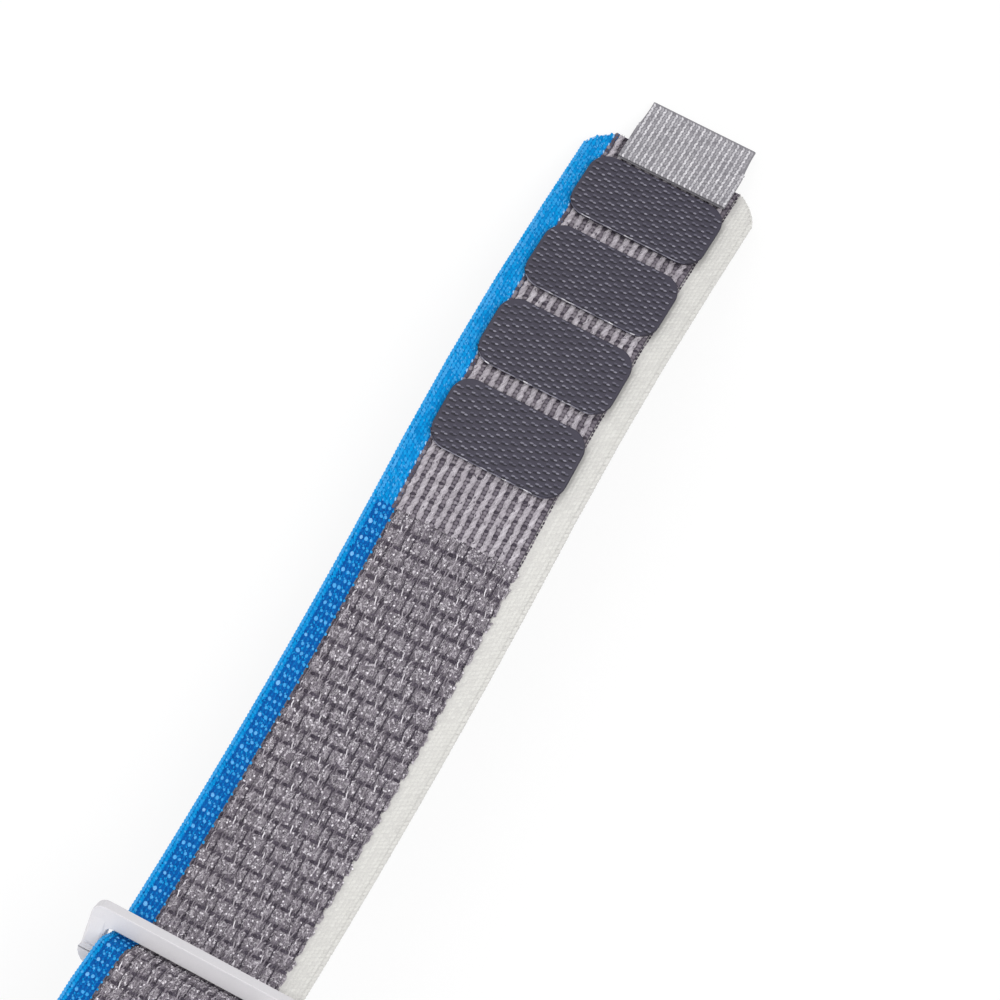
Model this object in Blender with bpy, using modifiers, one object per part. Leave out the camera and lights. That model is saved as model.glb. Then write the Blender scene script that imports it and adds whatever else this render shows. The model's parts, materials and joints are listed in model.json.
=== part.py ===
"""Hook-and-loop woven nylon watch strap, opened out and resting as a low arch.

Frame: +X towards the pull tab, +Z up, the width along Y (blue edge at +Y, white edge at -Y).
The outer face, with the loop pile and the hook patches, is up. The webbing is made in short lengths
that hinge on each other, and its sewn end and its slot hold the two lugs that fit a watch case.
"""
from dataclasses import dataclass
from math import asin, atan2, ceil, cos, degrees, hypot, radians, sin

import bmesh
import bpy

MM = 0.001

# Webbing
STRAP_WIDTH = 22.0 * MM
STRAP_THICKNESS = 1.7 * MM
BLUE_EDGE_WIDTH = 3.1 * MM
WHITE_EDGE_WIDTH = 3.1 * MM
WEBBING_ROUNDING = 0.35 * MM
HINGE_GAP = 0.6 * MM
SEAT_GAP = 0.3 * MM
CURVE_STEP = 4.0 * MM

# Main length, from the free lug back to the sewn loop
MAIN_LINK_COUNT = 8
MAIN_LINK_LENGTH = 15.1 * MM
MAIN_START_SLOPE = -25.0
MAIN_MOST_TURN = 20.0
MAIN_TURN_TRIES = 40

# Tail, from the free lug to the free end
PILE_LINK_COUNT = 3
PILE_LINK_LENGTH = 20.3 * MM
PILE_LINK_TURN = 6.3
TAIL_START_SLOPE = -16.5
PATCH_LINK_LENGTH = 10.95 * MM
PATCH_LINK_TURNS = (-6.0, -7.7, -7.2, -2.6)
END_MARGIN = 3.5 * MM
END_CHAMFER_LENGTH = 2.3 * MM

# Hook patches
PATCH_LENGTH = 8.7 * MM
PATCH_WIDTH = 17.1 * MM
PATCH_THICKNESS = 0.7 * MM
PATCH_CORNER = 2.4 * MM
PATCH_ROUNDING = 0.15 * MM

# Pull tab
TAB_WIDTH = 13.9 * MM
TAB_WAIST_WIDTH = 13.3 * MM
TAB_THICKNESS = 0.8 * MM
TAB_LENGTH = 5.2 * MM
TAB_OFFSET = -0.5 * MM
TAB_TURN = 6.0
TAB_ROUNDING = 0.2 * MM

# How the webbing passes through the free lug, going back from the tail
BAR_CLEARANCE = 0.3 * MM
TAIL_LEAD = 4.0 * MM
WRAP_TURN = 48.0
RISE_LENGTH = 1.2 * MM
CREST_RADIUS = 3.0 * MM
MAIN_LEAD = 1.0 * MM
SLOT_STEP = 0.6 * MM

# Lugs: a ring with a bar, a slot and an insert
RING_SIDE_WIDTH = 2.2 * MM
RING_THICKNESS = 1.5 * MM
RING_ROUNDING = 0.3 * MM
BAR_WIDTH = 2.3 * MM
BAR_CORNER = 1.3 * MM
SLOT_HEIGHT = 3.0 * MM
SLOT_SIDE_CLEARANCE = 0.8 * MM
SLOT_CORNER = 0.8 * MM
INSERT_OVERHANG = 0.05 * MM
ARM_INSET = 0.05 * MM
INSERT_DEPTH = 2.7 * MM
INSERT_THICKNESS = 2.4 * MM
INSERT_FAR_CORNER = 1.9 * MM
INSERT_NEAR_CORNER = 0.9 * MM
INSERT_ROUNDING = 0.6 * MM
FREE_LUG_ANGLE = 220.0

SLOT_WIDTH = STRAP_WIDTH + 2 * SLOT_SIDE_CLEARANCE
RING_WIDTH = SLOT_WIDTH + 2 * RING_SIDE_WIDTH
INSERT_LENGTH = RING_WIDTH + 2 * INSERT_OVERHANG

# Latch in each insert
LATCH_POCKET_DEPTH = 2.3 * MM
LATCH_POCKET_LENGTH = 6.0 * MM
LATCH_POCKET_HEIGHT = 1.5 * MM
LATCH_FIT = 0.15 * MM
LATCH_STEM_LENGTH = 2.4 * MM
LATCH_FLANGE_LENGTH = 4.0 * MM
LATCH_FLANGE_DEPTH = 0.4 * MM
LATCH_HEIGHT = 0.8 * MM
LATCH_REACH = 0.5 * MM
LATCH_ROUNDING = 0.08 * MM
COVER_DEPTH = 0.5 * MM
COVER_INSET = 0.25 * MM
SPRING_TURNS = 3
SPRING_TURN_STEPS = 10
SPRING_RADIUS = 0.4 * MM
SPRING_WIRE_RADIUS = 0.06 * MM

# End pads in each insert
PAD_LENGTH = 3.0 * MM
PAD_HEIGHT = 1.3 * MM
PAD_DEPTH = 0.6 * MM
PAD_PROUD = 0.2 * MM
PAD_FIT = 0.1 * MM
PAD_PLACE_SHARE = 0.68
PAD_ROUNDING = 0.1 * MM

# Sewn loop round the fixed lug's bar
LOOP_THICKNESS = 1.2 * MM
LOOP_BAR_CLEARANCE = 0.3 * MM
LOOP_CLOSING_TURN = 35.0
LOOP_CLOSING_RADIUS = 2.5 * MM
LOOP_FLAP_LENGTH = 7.0 * MM

CUT_OVERRUN = 1.0 * MM
ROUND_STEPS = 5
BEVEL_STEPS = 2
SHARP_ANGLE = 50.0

# Colours, roughness and metallic value of each finish
FINISHES = {
    "blue_yarn": ((0.0, 0.21, 0.72), 0.85, 0.0),
    "grey_yarn": ((0.22, 0.21, 0.23), 0.9, 0.0),
    "white_yarn": ((0.70, 0.69, 0.66), 0.85, 0.0),
    "hook_plastic": ((0.07, 0.065, 0.09), 0.5, 0.0),
    "silver_ribbon": ((0.38, 0.37, 0.40), 0.7, 0.0),
    "lug_aluminium": ((0.80, 0.77, 0.82), 0.4, 1.0),
    "latch_steel": ((0.55, 0.55, 0.56), 0.3, 1.0),
    "spring_steel": ((0.45, 0.45, 0.46), 0.35, 1.0),
    "cover_plastic": ((0.60, 0.58, 0.61), 0.4, 0.0),
    "pad_rubber": ((0.45, 0.44, 0.46), 0.8, 0.0),
}


@dataclass(frozen=True)
class Pose:
    """A place and a slope, in degrees, in the strap's lengthwise plane."""

    x: float
    z: float
    slope: float

    def then(self, x, z, turn):
        """The pose reached from this one by a step in its own axes and a turn."""
        a = radians(self.slope)
        return Pose(self.x + x * cos(a) - z * sin(a), self.z + x * sin(a) + z * cos(a), self.slope + turn)


def toward(angle, distance):
    """The step of a distance at an angle in degrees, counted from +X towards +Z."""
    return distance * cos(radians(angle)), distance * sin(radians(angle))


def arc_step(length, bend, way):
    """The step along a bent length of webbing. way is 1 towards the tail and -1 towards the main end."""
    if not bend:
        return way * length, 0.0
    radius = length / radians(bend)
    return way * radius * sin(radians(bend)), way * radius * (1 - cos(radians(bend)))


def arc_path(start, stop, length, bend, way):
    """Points along a bent length between two distances, in order of rising x."""
    steps = max(1, ceil((stop - start) / CURVE_STEP)) if bend else 1
    places = [start + (stop - start) * i / steps for i in range(steps + 1)]
    points = [arc_step(p, bend * p / length, way) for p in places]
    return points if way > 0 else points[::-1]


# Where the webbing runs, round the free lug's bar at the origin of this plane

BAR_REACH = hypot(BAR_WIDTH / 2 - RING_ROUNDING, RING_THICKNESS / 2 - RING_ROUNDING) + RING_ROUNDING
WRAP_RADIUS = BAR_REACH + BAR_CLEARANCE + STRAP_THICKNESS / 2
TAIL_FOOT = toward(TAIL_START_SLOPE + 270, WRAP_RADIUS)
WRAP_END = toward(TAIL_START_SLOPE + 270 - WRAP_TURN, WRAP_RADIUS)
RISE_HEADING = TAIL_START_SLOPE + 180 - WRAP_TURN
MAIN_HEADING = MAIN_START_SLOPE + 180


def added(a, b):
    """The sum of two steps."""
    return a[0] + b[0], a[1] + b[1]


RISE_END = added(WRAP_END, toward(RISE_HEADING, RISE_LENGTH))
CREST_CENTRE = added(RISE_END, toward(RISE_HEADING + 90, CREST_RADIUS))
CREST_END = added(CREST_CENTRE, toward(MAIN_HEADING - 90, CREST_RADIUS))
TAIL_START = Pose(*added(TAIL_FOOT, toward(TAIL_START_SLOPE, TAIL_LEAD)), TAIL_START_SLOPE)
MAIN_START = Pose(*added(CREST_END, toward(MAIN_HEADING, MAIN_LEAD)), MAIN_START_SLOPE)


def arc_points(centre, radius, first, last, step):
    """Points on an arc between two angles in degrees, both ends included."""
    count = max(2, ceil(radians(abs(last - first)) * radius / step))
    return [added(centre, toward(first + (last - first) * i / count, radius)) for i in range(count + 1)]


def slot_path():
    """The webbing's middle line through the slot, from the main end to the tail."""
    crest = arc_points(CREST_CENTRE, CREST_RADIUS, MAIN_HEADING - 90, RISE_HEADING - 90, SLOT_STEP)
    wrap = arc_points((0, 0), WRAP_RADIUS, RISE_HEADING + 90, TAIL_START_SLOPE + 270, SLOT_STEP)
    first = added(CREST_END, toward(MAIN_HEADING, MAIN_LEAD - HINGE_GAP / 2))
    last = added(TAIL_FOOT, toward(TAIL_START_SLOPE, TAIL_LEAD - HINGE_GAP / 2))
    return [first] + crest + wrap + [last]


def tail_links():
    """The length, bend and turn at the start of each link of the tail."""
    pile = [(PILE_LINK_LENGTH, PILE_LINK_TURN, 0.0)] * PILE_LINK_COUNT
    patches = [(PATCH_LINK_LENGTH, 0.0, turn) for turn in PATCH_LINK_TURNS]
    tip_length = (PATCH_LINK_LENGTH + PATCH_LENGTH) / 2 + END_MARGIN
    patches[-1] = (tip_length, 0.0, PATCH_LINK_TURNS[-1])
    return pile + patches


def tail_end():
    """The pose of the strap's free end, from the bar."""
    pose = TAIL_START
    for length, bend, turn in tail_links():
        pose = pose.then(0, 0, turn).then(*arc_step(length, bend, 1), bend)
    return pose


def floor_depth():
    """How far below the bar the floor is: the lower rounded edge of the free end rests on it."""
    end = tail_end()
    return -end.then(-WEBBING_ROUNDING, -STRAP_THICKNESS / 2, 0).z


BAR_HEIGHT = floor_depth()

LOOP_RADIUS = BAR_REACH + LOOP_BAR_CLEARANCE + LOOP_THICKNESS / 2
ANCHOR_HEIGHT = LOOP_RADIUS + LOOP_THICKNESS / 2
INSERT_START = BAR_WIDTH / 2 + SLOT_HEIGHT
INSERT_END = INSERT_START + INSERT_DEPTH


def main_run(turn):
    """The pose at which each link of the main length starts, and its bend, where each link turns alike.

    The last link is straight and takes the loop.
    """
    links = []
    pose = MAIN_START
    for _ in range(MAIN_LINK_COUNT - 1):
        links.append((pose, turn))
        pose = pose.then(*arc_step(MAIN_LINK_LENGTH, turn, -1), turn)
    links.append((pose.then(0, 0, turn / 2), 0.0))
    return links


def loop_place(links):
    """The fixed lug's bar, from the free lug's bar."""
    return links[-1][0].then(-MAIN_LINK_LENGTH, -LOOP_RADIUS, 0)


def main_links():
    """The main length with the turn that brings its sewn loop down to the floor."""
    low, high = 0.0, MAIN_MOST_TURN
    for _ in range(MAIN_TURN_TRIES):
        middle = (low + high) / 2
        if BAR_HEIGHT + loop_place(main_run(middle)).z > ANCHOR_HEIGHT:
            low = middle
        else:
            high = middle
    return main_run(high)


def fixed_lug_angle():
    """The fixed lug points back and down until its insert's lower edge meets the floor."""
    low = INSERT_THICKNESS / 2
    far = INSERT_END - INSERT_ROUNDING
    return 180 + degrees(asin(ANCHOR_HEIGHT / hypot(far, low)) - atan2(low, far))


def tab_hinge():
    """The pull tab's bending line, in the axes of the last link of the tail."""
    length = tail_links()[-1][0]
    return Pose(length, STRAP_THICKNESS / 2 + SEAT_GAP + TAB_THICKNESS / 2, TAB_TURN)


def middle_x():
    """The middle of the whole strap's length, from the free lug's bar."""
    hinge = tab_hinge()
    tip = tail_end().then(0, hinge.z, hinge.slope).then(TAB_LENGTH, 0, 0)
    back = loop_place(main_links()).x - (INSERT_END + LATCH_REACH) * cos(radians(fixed_lug_angle() - 180))
    return (tip.x + back) / 2


# Scene, collections and finishes


def clear_scene():
    """Remove every object that the scene holds."""
    for old in list(bpy.data.objects):
        bpy.data.objects.remove(old, do_unlink=True)


def new_collection(name):
    """A collection linked to the scene."""
    collection = bpy.data.collections.new(name)
    bpy.context.scene.collection.children.link(collection)
    return collection


def finish(name):
    """The named finish as a material, made once."""
    material = bpy.data.materials.get(name)
    if material is None:
        colour, roughness, metallic = FINISHES[name]
        material = bpy.data.materials.new(name)
        material.use_nodes = True
        material.diffuse_color = (*colour, 1.0)
        shader = material.node_tree.nodes["Principled BSDF"]
        shader.inputs["Base Color"].default_value = (*colour, 1.0)
        shader.inputs["Roughness"].default_value = roughness
        shader.inputs["Metallic"].default_value = metallic
    return material


def place(item, parent, pose):
    """Put an object or an empty at a pose in its parent's axes."""
    item.parent = parent
    item.location = (pose.x, 0, pose.z)
    item.rotation_euler = (0, -radians(pose.slope), 0)


def add_joint(parts, name, parent, pose):
    """An empty on a joint's axis, which carries the pieces beyond the joint."""
    joint = bpy.data.objects.new(name, None)
    joint.empty_display_size = BAR_WIDTH
    parts.objects.link(joint)
    place(joint, parent, pose)
    return joint


def add_mesh(parts, name, mesh_maker, finishes):
    """A named object from a function that fills a bmesh."""
    mesh = bpy.data.meshes.new(name)
    bm = bmesh.new()
    mesh_maker(bm)
    bm.to_mesh(mesh)
    bm.free()
    item = bpy.data.objects.new(name, mesh)
    parts.objects.link(item)
    for each in finishes:
        mesh.materials.append(finish(each))
    return item


def add_thickness(item, thickness):
    """Give an open surface its thickness, half to each side."""
    solid = item.modifiers.new("thickness", "SOLIDIFY")
    solid.thickness = thickness
    solid.offset = 0
    solid.use_even_offset = True


def add_rounding(item, width):
    """Round the sharp edges."""
    rounding = item.modifiers.new("rounding", "BEVEL")
    rounding.width = width
    rounding.segments = BEVEL_STEPS
    rounding.limit_method = "ANGLE"
    rounding.angle_limit = radians(SHARP_ANGLE)


def smooth(item):
    """Shade round faces smooth and keep the sharp edges."""
    item.data.shade_smooth()
    item.data.set_sharp_from_angle(angle=radians(SHARP_ANGLE))


# Woven pieces


def ribbon_maker(rows):
    """A function that fills a bmesh with a strip: rows of (x, z, y places), one finish for each column."""

    def fill(bm):
        lines = [[bm.verts.new((x, y, z)) for y in ys] for x, z, ys in rows]
        for near, far in zip(lines, lines[1:]):
            for j in range(len(near) - 1):
                face = bm.faces.new((near[j], far[j], far[j + 1], near[j + 1]))
                face.material_index = j
        bmesh.ops.remove_doubles(bm, verts=bm.verts, dist=HINGE_GAP / 100)

    return fill


def strap_columns():
    """Where the white edge, the grey field and the blue edge begin and end across the strap."""
    half = STRAP_WIDTH / 2
    return (-half, WHITE_EDGE_WIDTH - half, half - BLUE_EDGE_WIDTH, half)


def end_columns():
    """The same at the cut end, where both corners are taken off up to the field."""
    _, low, high, _ = strap_columns()
    return (low, low, high, high)


def add_webbing(parts, name, parent, pose, rows, thickness):
    """One length of striped webbing."""
    item = add_mesh(parts, name, ribbon_maker(rows), ("white_yarn", "grey_yarn", "blue_yarn"))
    add_thickness(item, thickness)
    add_rounding(item, WEBBING_ROUNDING)
    smooth(item)
    place(item, parent, pose)
    return item


def link_rows(length, bend, way):
    """The rows of one link, short of both its hinges by half a gap."""
    path = arc_path(HINGE_GAP / 2, length - HINGE_GAP / 2, length, bend, way)
    return [(x, z, strap_columns()) for x, z in path]


def tip_rows(length):
    """The rows of the last link of the tail, with its two cut corners."""
    places = (HINGE_GAP / 2, length - END_CHAMFER_LENGTH)
    return [(x, 0, strap_columns()) for x in places] + [(length, 0, end_columns())]


# Hook patches and pull tab


def rounded_outline(low, high, half_width, low_corner, high_corner):
    """A rectangle's outline from x low to high, with round corners of two radii."""
    corners = (
        ((high - high_corner, half_width - high_corner), high_corner, 0),
        ((low + low_corner, half_width - low_corner), low_corner, 90),
        ((low + low_corner, low_corner - half_width), low_corner, 180),
        ((high - high_corner, high_corner - half_width), high_corner, 270),
    )
    points = []
    for centre, radius, first in corners:
        turn = [first + 90 * i / ROUND_STEPS for i in range(ROUND_STEPS + 1)]
        points += [added(centre, toward(angle, radius)) for angle in turn]
    return points


def plate_maker(outline, z=0.0):
    """A function that fills a bmesh with one flat face."""

    def fill(bm):
        bm.faces.new([bm.verts.new((x, y, z)) for x, y in outline])

    return fill


def add_plate(parts, name, outline, thickness, rounding, material, z=0.0):
    """A flat plate with rounded edges, its middle plane at height z."""
    item = add_mesh(parts, name, plate_maker(outline, z), (material,))
    add_thickness(item, thickness)
    if rounding:
        add_rounding(item, rounding)
    smooth(item)
    return item


def add_hook_patch(parts, name, parent):
    """A moulded hook pad on a link's outer face, half a patch gap from the link's start."""
    start = (PATCH_LINK_LENGTH - PATCH_LENGTH) / 2
    outline = rounded_outline(start, start + PATCH_LENGTH, PATCH_WIDTH / 2, PATCH_CORNER, PATCH_CORNER)
    height = STRAP_THICKNESS / 2 + SEAT_GAP + PATCH_THICKNESS / 2
    item = add_plate(parts, name, outline, PATCH_THICKNESS, PATCH_ROUNDING, "hook_plastic", height)
    place(item, parent, Pose(0, 0, 0))


def tab_rows(length, widths):
    """Rows of the pull tab's ribbon, as wide as the given widths at even steps."""
    last = len(widths) - 1
    return [
        (length * i / last, 0, (TAB_OFFSET - width / 2, TAB_OFFSET + width / 2))
        for i, width in enumerate(widths)
    ]


def add_tab_piece(parts, name, parent, pose, length, widths):
    """One part of the pull tab."""
    item = add_mesh(parts, name, ribbon_maker(tab_rows(length, widths)), ("silver_ribbon",))
    add_thickness(item, TAB_THICKNESS)
    add_rounding(item, TAB_ROUNDING)
    smooth(item)
    place(item, parent, pose)


def add_pull_tab(parts, tip_link):
    """The ribbon's sewn part on the last link, and its free part beyond the strap's end."""
    hinge = tab_hinge()
    sewn = END_MARGIN - SEAT_GAP - HINGE_GAP / 2
    base = Pose(hinge.x - HINGE_GAP / 2 - sewn, hinge.z, 0)
    add_tab_piece(parts, "pull_tab_base", tip_link, base, sewn, (TAB_WIDTH, TAB_WIDTH))
    bend = add_joint(parts, "pull_tab_flex", tip_link, hinge)
    waist = (TAB_WIDTH, (TAB_WIDTH + TAB_WAIST_WIDTH) / 2, TAB_WAIST_WIDTH, TAB_WAIST_WIDTH)
    length = TAB_LENGTH - HINGE_GAP / 2
    add_tab_piece(parts, "pull_tab", bend, Pose(HINGE_GAP / 2, 0, 0), length, waist)


# Lugs


def cut(item, cutter, operation="DIFFERENCE"):
    """Cut an object with another, or join the other to it."""
    boolean = item.modifiers.new(cutter.name, "BOOLEAN")
    boolean.operation = operation
    boolean.object = cutter
    boolean.solver = "EXACT"


def as_cutter(item, parent):
    """Mark an object as a cutter that sits in a lug's axes."""
    item.hide_render = True
    item.display_type = "WIRE"
    place(item, parent, Pose(0, 0, 0))
    return item


def box_outline(low, high, half_width, middle=0.0):
    """A plain rectangle's outline."""
    return (
        (low, middle - half_width),
        (high, middle - half_width),
        (high, middle + half_width),
        (low, middle + half_width),
    )


def add_slot_cutter(cutters, name, parent):
    """The slot that the webbing passes through."""
    outline = rounded_outline(BAR_WIDTH / 2, INSERT_START, SLOT_WIDTH / 2, SLOT_CORNER, SLOT_CORNER)
    depth = RING_THICKNESS + CUT_OVERRUN
    return as_cutter(add_plate(cutters, name, outline, depth, 0, "lug_aluminium"), parent)


def add_insert(cutters, name, parent):
    """The thick insert that slides into the case, joined to the ring."""
    outline = rounded_outline(INSERT_START, INSERT_END, INSERT_LENGTH / 2, INSERT_NEAR_CORNER, INSERT_FAR_CORNER)
    item = add_plate(cutters, name, outline, INSERT_THICKNESS, INSERT_ROUNDING, "lug_aluminium")
    return as_cutter(item, parent)


def arm_maker(y):
    """A function that fills a bmesh with the side view of one of the ring's arms, thicker towards the insert."""
    near, far = RING_THICKNESS / 2 - ARM_INSET, INSERT_THICKNESS / 2 - ARM_INSET
    end = INSERT_START + INSERT_ROUNDING
    profile = ((0, -near), (end, -far), (end, far), (0, near))

    def fill(bm):
        bm.faces.new([bm.verts.new((x, y, z)) for x, z in profile])

    return fill


def add_arm(cutters, name, parent, side):
    """One arm that widens the ring's side from the bar to the insert, joined to the ring."""
    y = side * (SLOT_WIDTH + RING_SIDE_WIDTH) / 2
    item = add_mesh(cutters, name, arm_maker(y), ("lug_aluminium",))
    add_thickness(item, RING_SIDE_WIDTH - 2 * ARM_INSET)
    add_rounding(item, RING_ROUNDING)
    smooth(item)
    return as_cutter(item, parent)


def add_latch_pocket(cutters, name, parent):
    """The pocket for the latch, open at the insert's far face."""
    far = INSERT_END + CUT_OVERRUN
    outline = box_outline(INSERT_END - LATCH_POCKET_DEPTH, far, LATCH_POCKET_LENGTH / 2)
    return as_cutter(add_plate(cutters, name, outline, LATCH_POCKET_HEIGHT, 0, "lug_aluminium"), parent)


def pad_place(side):
    """How far along the insert a pad sits."""
    return side * PAD_PLACE_SHARE * INSERT_LENGTH / 2


def add_pad_recess(cutters, name, parent, side):
    """The shallow seat of one end pad."""
    low = INSERT_END + PAD_PROUD - PAD_DEPTH - PAD_FIT
    half = PAD_LENGTH / 2 + PAD_FIT
    outline = box_outline(low, INSERT_END + CUT_OVERRUN, half, pad_place(side))
    height = PAD_HEIGHT + 2 * PAD_FIT
    return as_cutter(add_plate(cutters, name, outline, height, 0, "lug_aluminium"), parent)


def add_lug_body(parts, cutters, prefix, parent):
    """The ring with its slot, joined to the insert, with the seats of the latch and the pads."""
    middle = (INSERT_START + INSERT_END) / 2
    outline = rounded_outline(-BAR_WIDTH / 2, middle, RING_WIDTH / 2, BAR_CORNER, RING_ROUNDING)
    body = add_mesh(parts, prefix + "_body", plate_maker(outline), ("lug_aluminium",))
    add_thickness(body, RING_THICKNESS)
    cut(body, add_slot_cutter(cutters, prefix + "_slot", parent))
    add_rounding(body, RING_ROUNDING)
    cut(body, add_insert(cutters, prefix + "_insert", parent), "UNION")
    for side, word in ((1, "left"), (-1, "right")):
        cut(body, add_arm(cutters, prefix + "_arm_" + word, parent, side), "UNION")
    cut(body, add_latch_pocket(cutters, prefix + "_pocket", parent))
    for side, word in ((1, "left"), (-1, "right")):
        cut(body, add_pad_recess(cutters, prefix + "_recess_" + word, parent, side))
    smooth(body)
    place(body, parent, Pose(0, 0, 0))


COVER_FAR = INSERT_END - COVER_INSET
COVER_NEAR = COVER_FAR - COVER_DEPTH
FLANGE_FAR = COVER_NEAR - LATCH_FIT
FLANGE_NEAR = FLANGE_FAR - LATCH_FLANGE_DEPTH


def latch_outline():
    """The latch's T shape: a flange behind the cover and a stem that stands out of the insert."""
    stem, flange = LATCH_STEM_LENGTH / 2, LATCH_FLANGE_LENGTH / 2
    far = INSERT_END + LATCH_REACH
    side = ((FLANGE_NEAR, flange), (FLANGE_FAR, flange), (FLANGE_FAR, stem), (far, stem))
    return [(x, -y) for x, y in side] + list(reversed(side))


def add_latch(parts, cutters, prefix, parent):
    """The latch, its cover and its spring."""
    press = add_joint(parts, prefix + "_press", parent, Pose(0, 0, 0))
    latch = add_plate(parts, prefix + "_latch", latch_outline(), LATCH_HEIGHT, LATCH_ROUNDING, "latch_steel")
    place(latch, press, Pose(0, 0, 0))

    half = LATCH_POCKET_LENGTH / 2 - LATCH_FIT
    height = LATCH_POCKET_HEIGHT - 2 * LATCH_FIT
    outline = box_outline(COVER_NEAR, COVER_FAR, half)
    cover = add_plate(parts, prefix + "_cover", outline, height, 0, "cover_plastic")
    hole = box_outline(COVER_NEAR - CUT_OVERRUN, COVER_FAR + CUT_OVERRUN, LATCH_STEM_LENGTH / 2 + LATCH_FIT)
    hole_height = LATCH_HEIGHT + LATCH_FIT
    cutter = add_plate(cutters, prefix + "_cover_hole", hole, hole_height, 0, "cover_plastic")
    cut(cover, as_cutter(cutter, parent))
    place(cover, parent, Pose(0, 0, 0))
    add_spring(parts, prefix + "_spring", parent)


def add_spring(parts, name, parent):
    """The latch's small coil, from the pocket's end to the flange."""
    low = INSERT_END - LATCH_POCKET_DEPTH + SPRING_WIRE_RADIUS + LATCH_FIT
    high = FLANGE_NEAR - SPRING_WIRE_RADIUS - LATCH_FIT
    count = SPRING_TURNS * SPRING_TURN_STEPS
    curve = bpy.data.curves.new(name, "CURVE")
    curve.dimensions = "3D"
    curve.bevel_depth = SPRING_WIRE_RADIUS
    curve.bevel_resolution = 1
    curve.use_fill_caps = True
    spline = curve.splines.new("POLY")
    spline.points.add(count)
    for i, point in enumerate(spline.points):
        y, z = toward(360 * i / SPRING_TURN_STEPS, SPRING_RADIUS)
        point.co = (low + (high - low) * i / count, y, z, 1)
    spring = bpy.data.objects.new(name, curve)
    parts.objects.link(spring)
    curve.materials.append(finish("spring_steel"))
    place(spring, parent, Pose(0, 0, 0))


def add_pad(parts, name, parent, side):
    """One end pad, a little proud of the insert."""
    low = INSERT_END + PAD_PROUD - PAD_DEPTH
    outline = box_outline(low, low + PAD_DEPTH, PAD_LENGTH / 2, pad_place(side))
    item = add_plate(parts, name, outline, PAD_HEIGHT, PAD_ROUNDING, "pad_rubber")
    place(item, parent, Pose(0, 0, 0))


def add_lug(parts, cutters, prefix, turn_name, parent, pose):
    """A whole lug on a joint at its bar. Its +X runs from the bar to the insert."""
    turn = add_joint(parts, turn_name, parent, pose)
    add_lug_body(parts, cutters, prefix, turn)
    add_latch(parts, cutters, prefix, turn)
    for side, word in ((1, "left"), (-1, "right")):
        add_pad(parts, prefix + "_pad_" + word, turn, side)


# Assembly


def add_main(parts, root):
    """The main length, link by link. Gives the joint that carries its last link."""
    joint = root
    links = main_links()
    for number, (pose, bend) in enumerate(links, 1):
        rows = link_rows(MAIN_LINK_LENGTH, bend, -1)
        if number == 1:
            add_webbing(parts, "webbing_main_1", root, pose, rows, STRAP_THICKNESS)
        else:
            before, before_bend = links[number - 2]
            name = "main_curl" if number == 2 else f"main_flex_{number}"
            start = before if number == 2 else Pose(0, 0, 0)
            step = arc_step(MAIN_LINK_LENGTH, before_bend, -1)
            joint = add_joint(parts, name, joint, start.then(*step, pose.slope - before.slope))
            if number == len(links):
                step_x = MAIN_LINK_LENGTH - HINGE_GAP
                rows = [(x, 0, strap_columns()) for x in (-step_x, -HINGE_GAP / 2)]
            add_webbing(parts, f"webbing_main_{number}", joint, Pose(0, 0, 0), rows, STRAP_THICKNESS)
    return joint


def loop_path():
    """The sewn loop's middle line in the last link's axes: round the bar, then back under the webbing."""
    bar = (-MAIN_LINK_LENGTH, -LOOP_RADIUS)
    top = [added(bar, (HINGE_GAP / 2 + SEAT_GAP - HINGE_GAP, LOOP_RADIUS))]
    round_bar = arc_points(bar, LOOP_RADIUS, 90, 270 + LOOP_CLOSING_TURN, SLOT_STEP)
    under = -(STRAP_THICKNESS + LOOP_THICKNESS) / 2 - SEAT_GAP
    arc_rise = LOOP_CLOSING_RADIUS * (1 - cos(radians(LOOP_CLOSING_TURN)))
    rise = under - arc_rise - round_bar[-1][1]
    meet = added(round_bar[-1], toward(LOOP_CLOSING_TURN, rise / sin(radians(LOOP_CLOSING_TURN))))
    centre = added(meet, toward(LOOP_CLOSING_TURN - 90, LOOP_CLOSING_RADIUS))
    closing = arc_points(centre, LOOP_CLOSING_RADIUS, LOOP_CLOSING_TURN + 90, 90, SLOT_STEP)
    return top + round_bar + closing + [added(closing[-1], (LOOP_FLAP_LENGTH, 0))]


def add_anchor_loop(parts, joint):
    """The webbing's sewn end round the fixed lug's bar."""
    rows = [(x, z, strap_columns()) for x, z in loop_path()]
    add_webbing(parts, "anchor_loop", joint, Pose(0, 0, 0), rows, LOOP_THICKNESS)


def add_tail(parts, root):
    """The tail, link by link, with its hook patches and its pull tab."""
    joint = add_joint(parts, "tail_fold", root, Pose(0, 0, 0))
    start = TAIL_START
    links = tail_links()
    for number, (length, bend, turn) in enumerate(links, 1):
        if number > 1:
            joint = add_joint(parts, f"tail_flex_{number}", joint, start.then(0, 0, turn))
            start = Pose(0, 0, 0)
        rows = tip_rows(length) if number == len(links) else link_rows(length, bend, 1)
        add_webbing(parts, f"webbing_tail_{number}", joint, start, rows, STRAP_THICKNESS)
        patch = len(links) + 1 - number
        if patch <= len(PATCH_LINK_TURNS):
            add_hook_patch(parts, f"hook_patch_{patch}", joint)
        start = start.then(*arc_step(length, bend, 1), bend)
    add_pull_tab(parts, joint)


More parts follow.
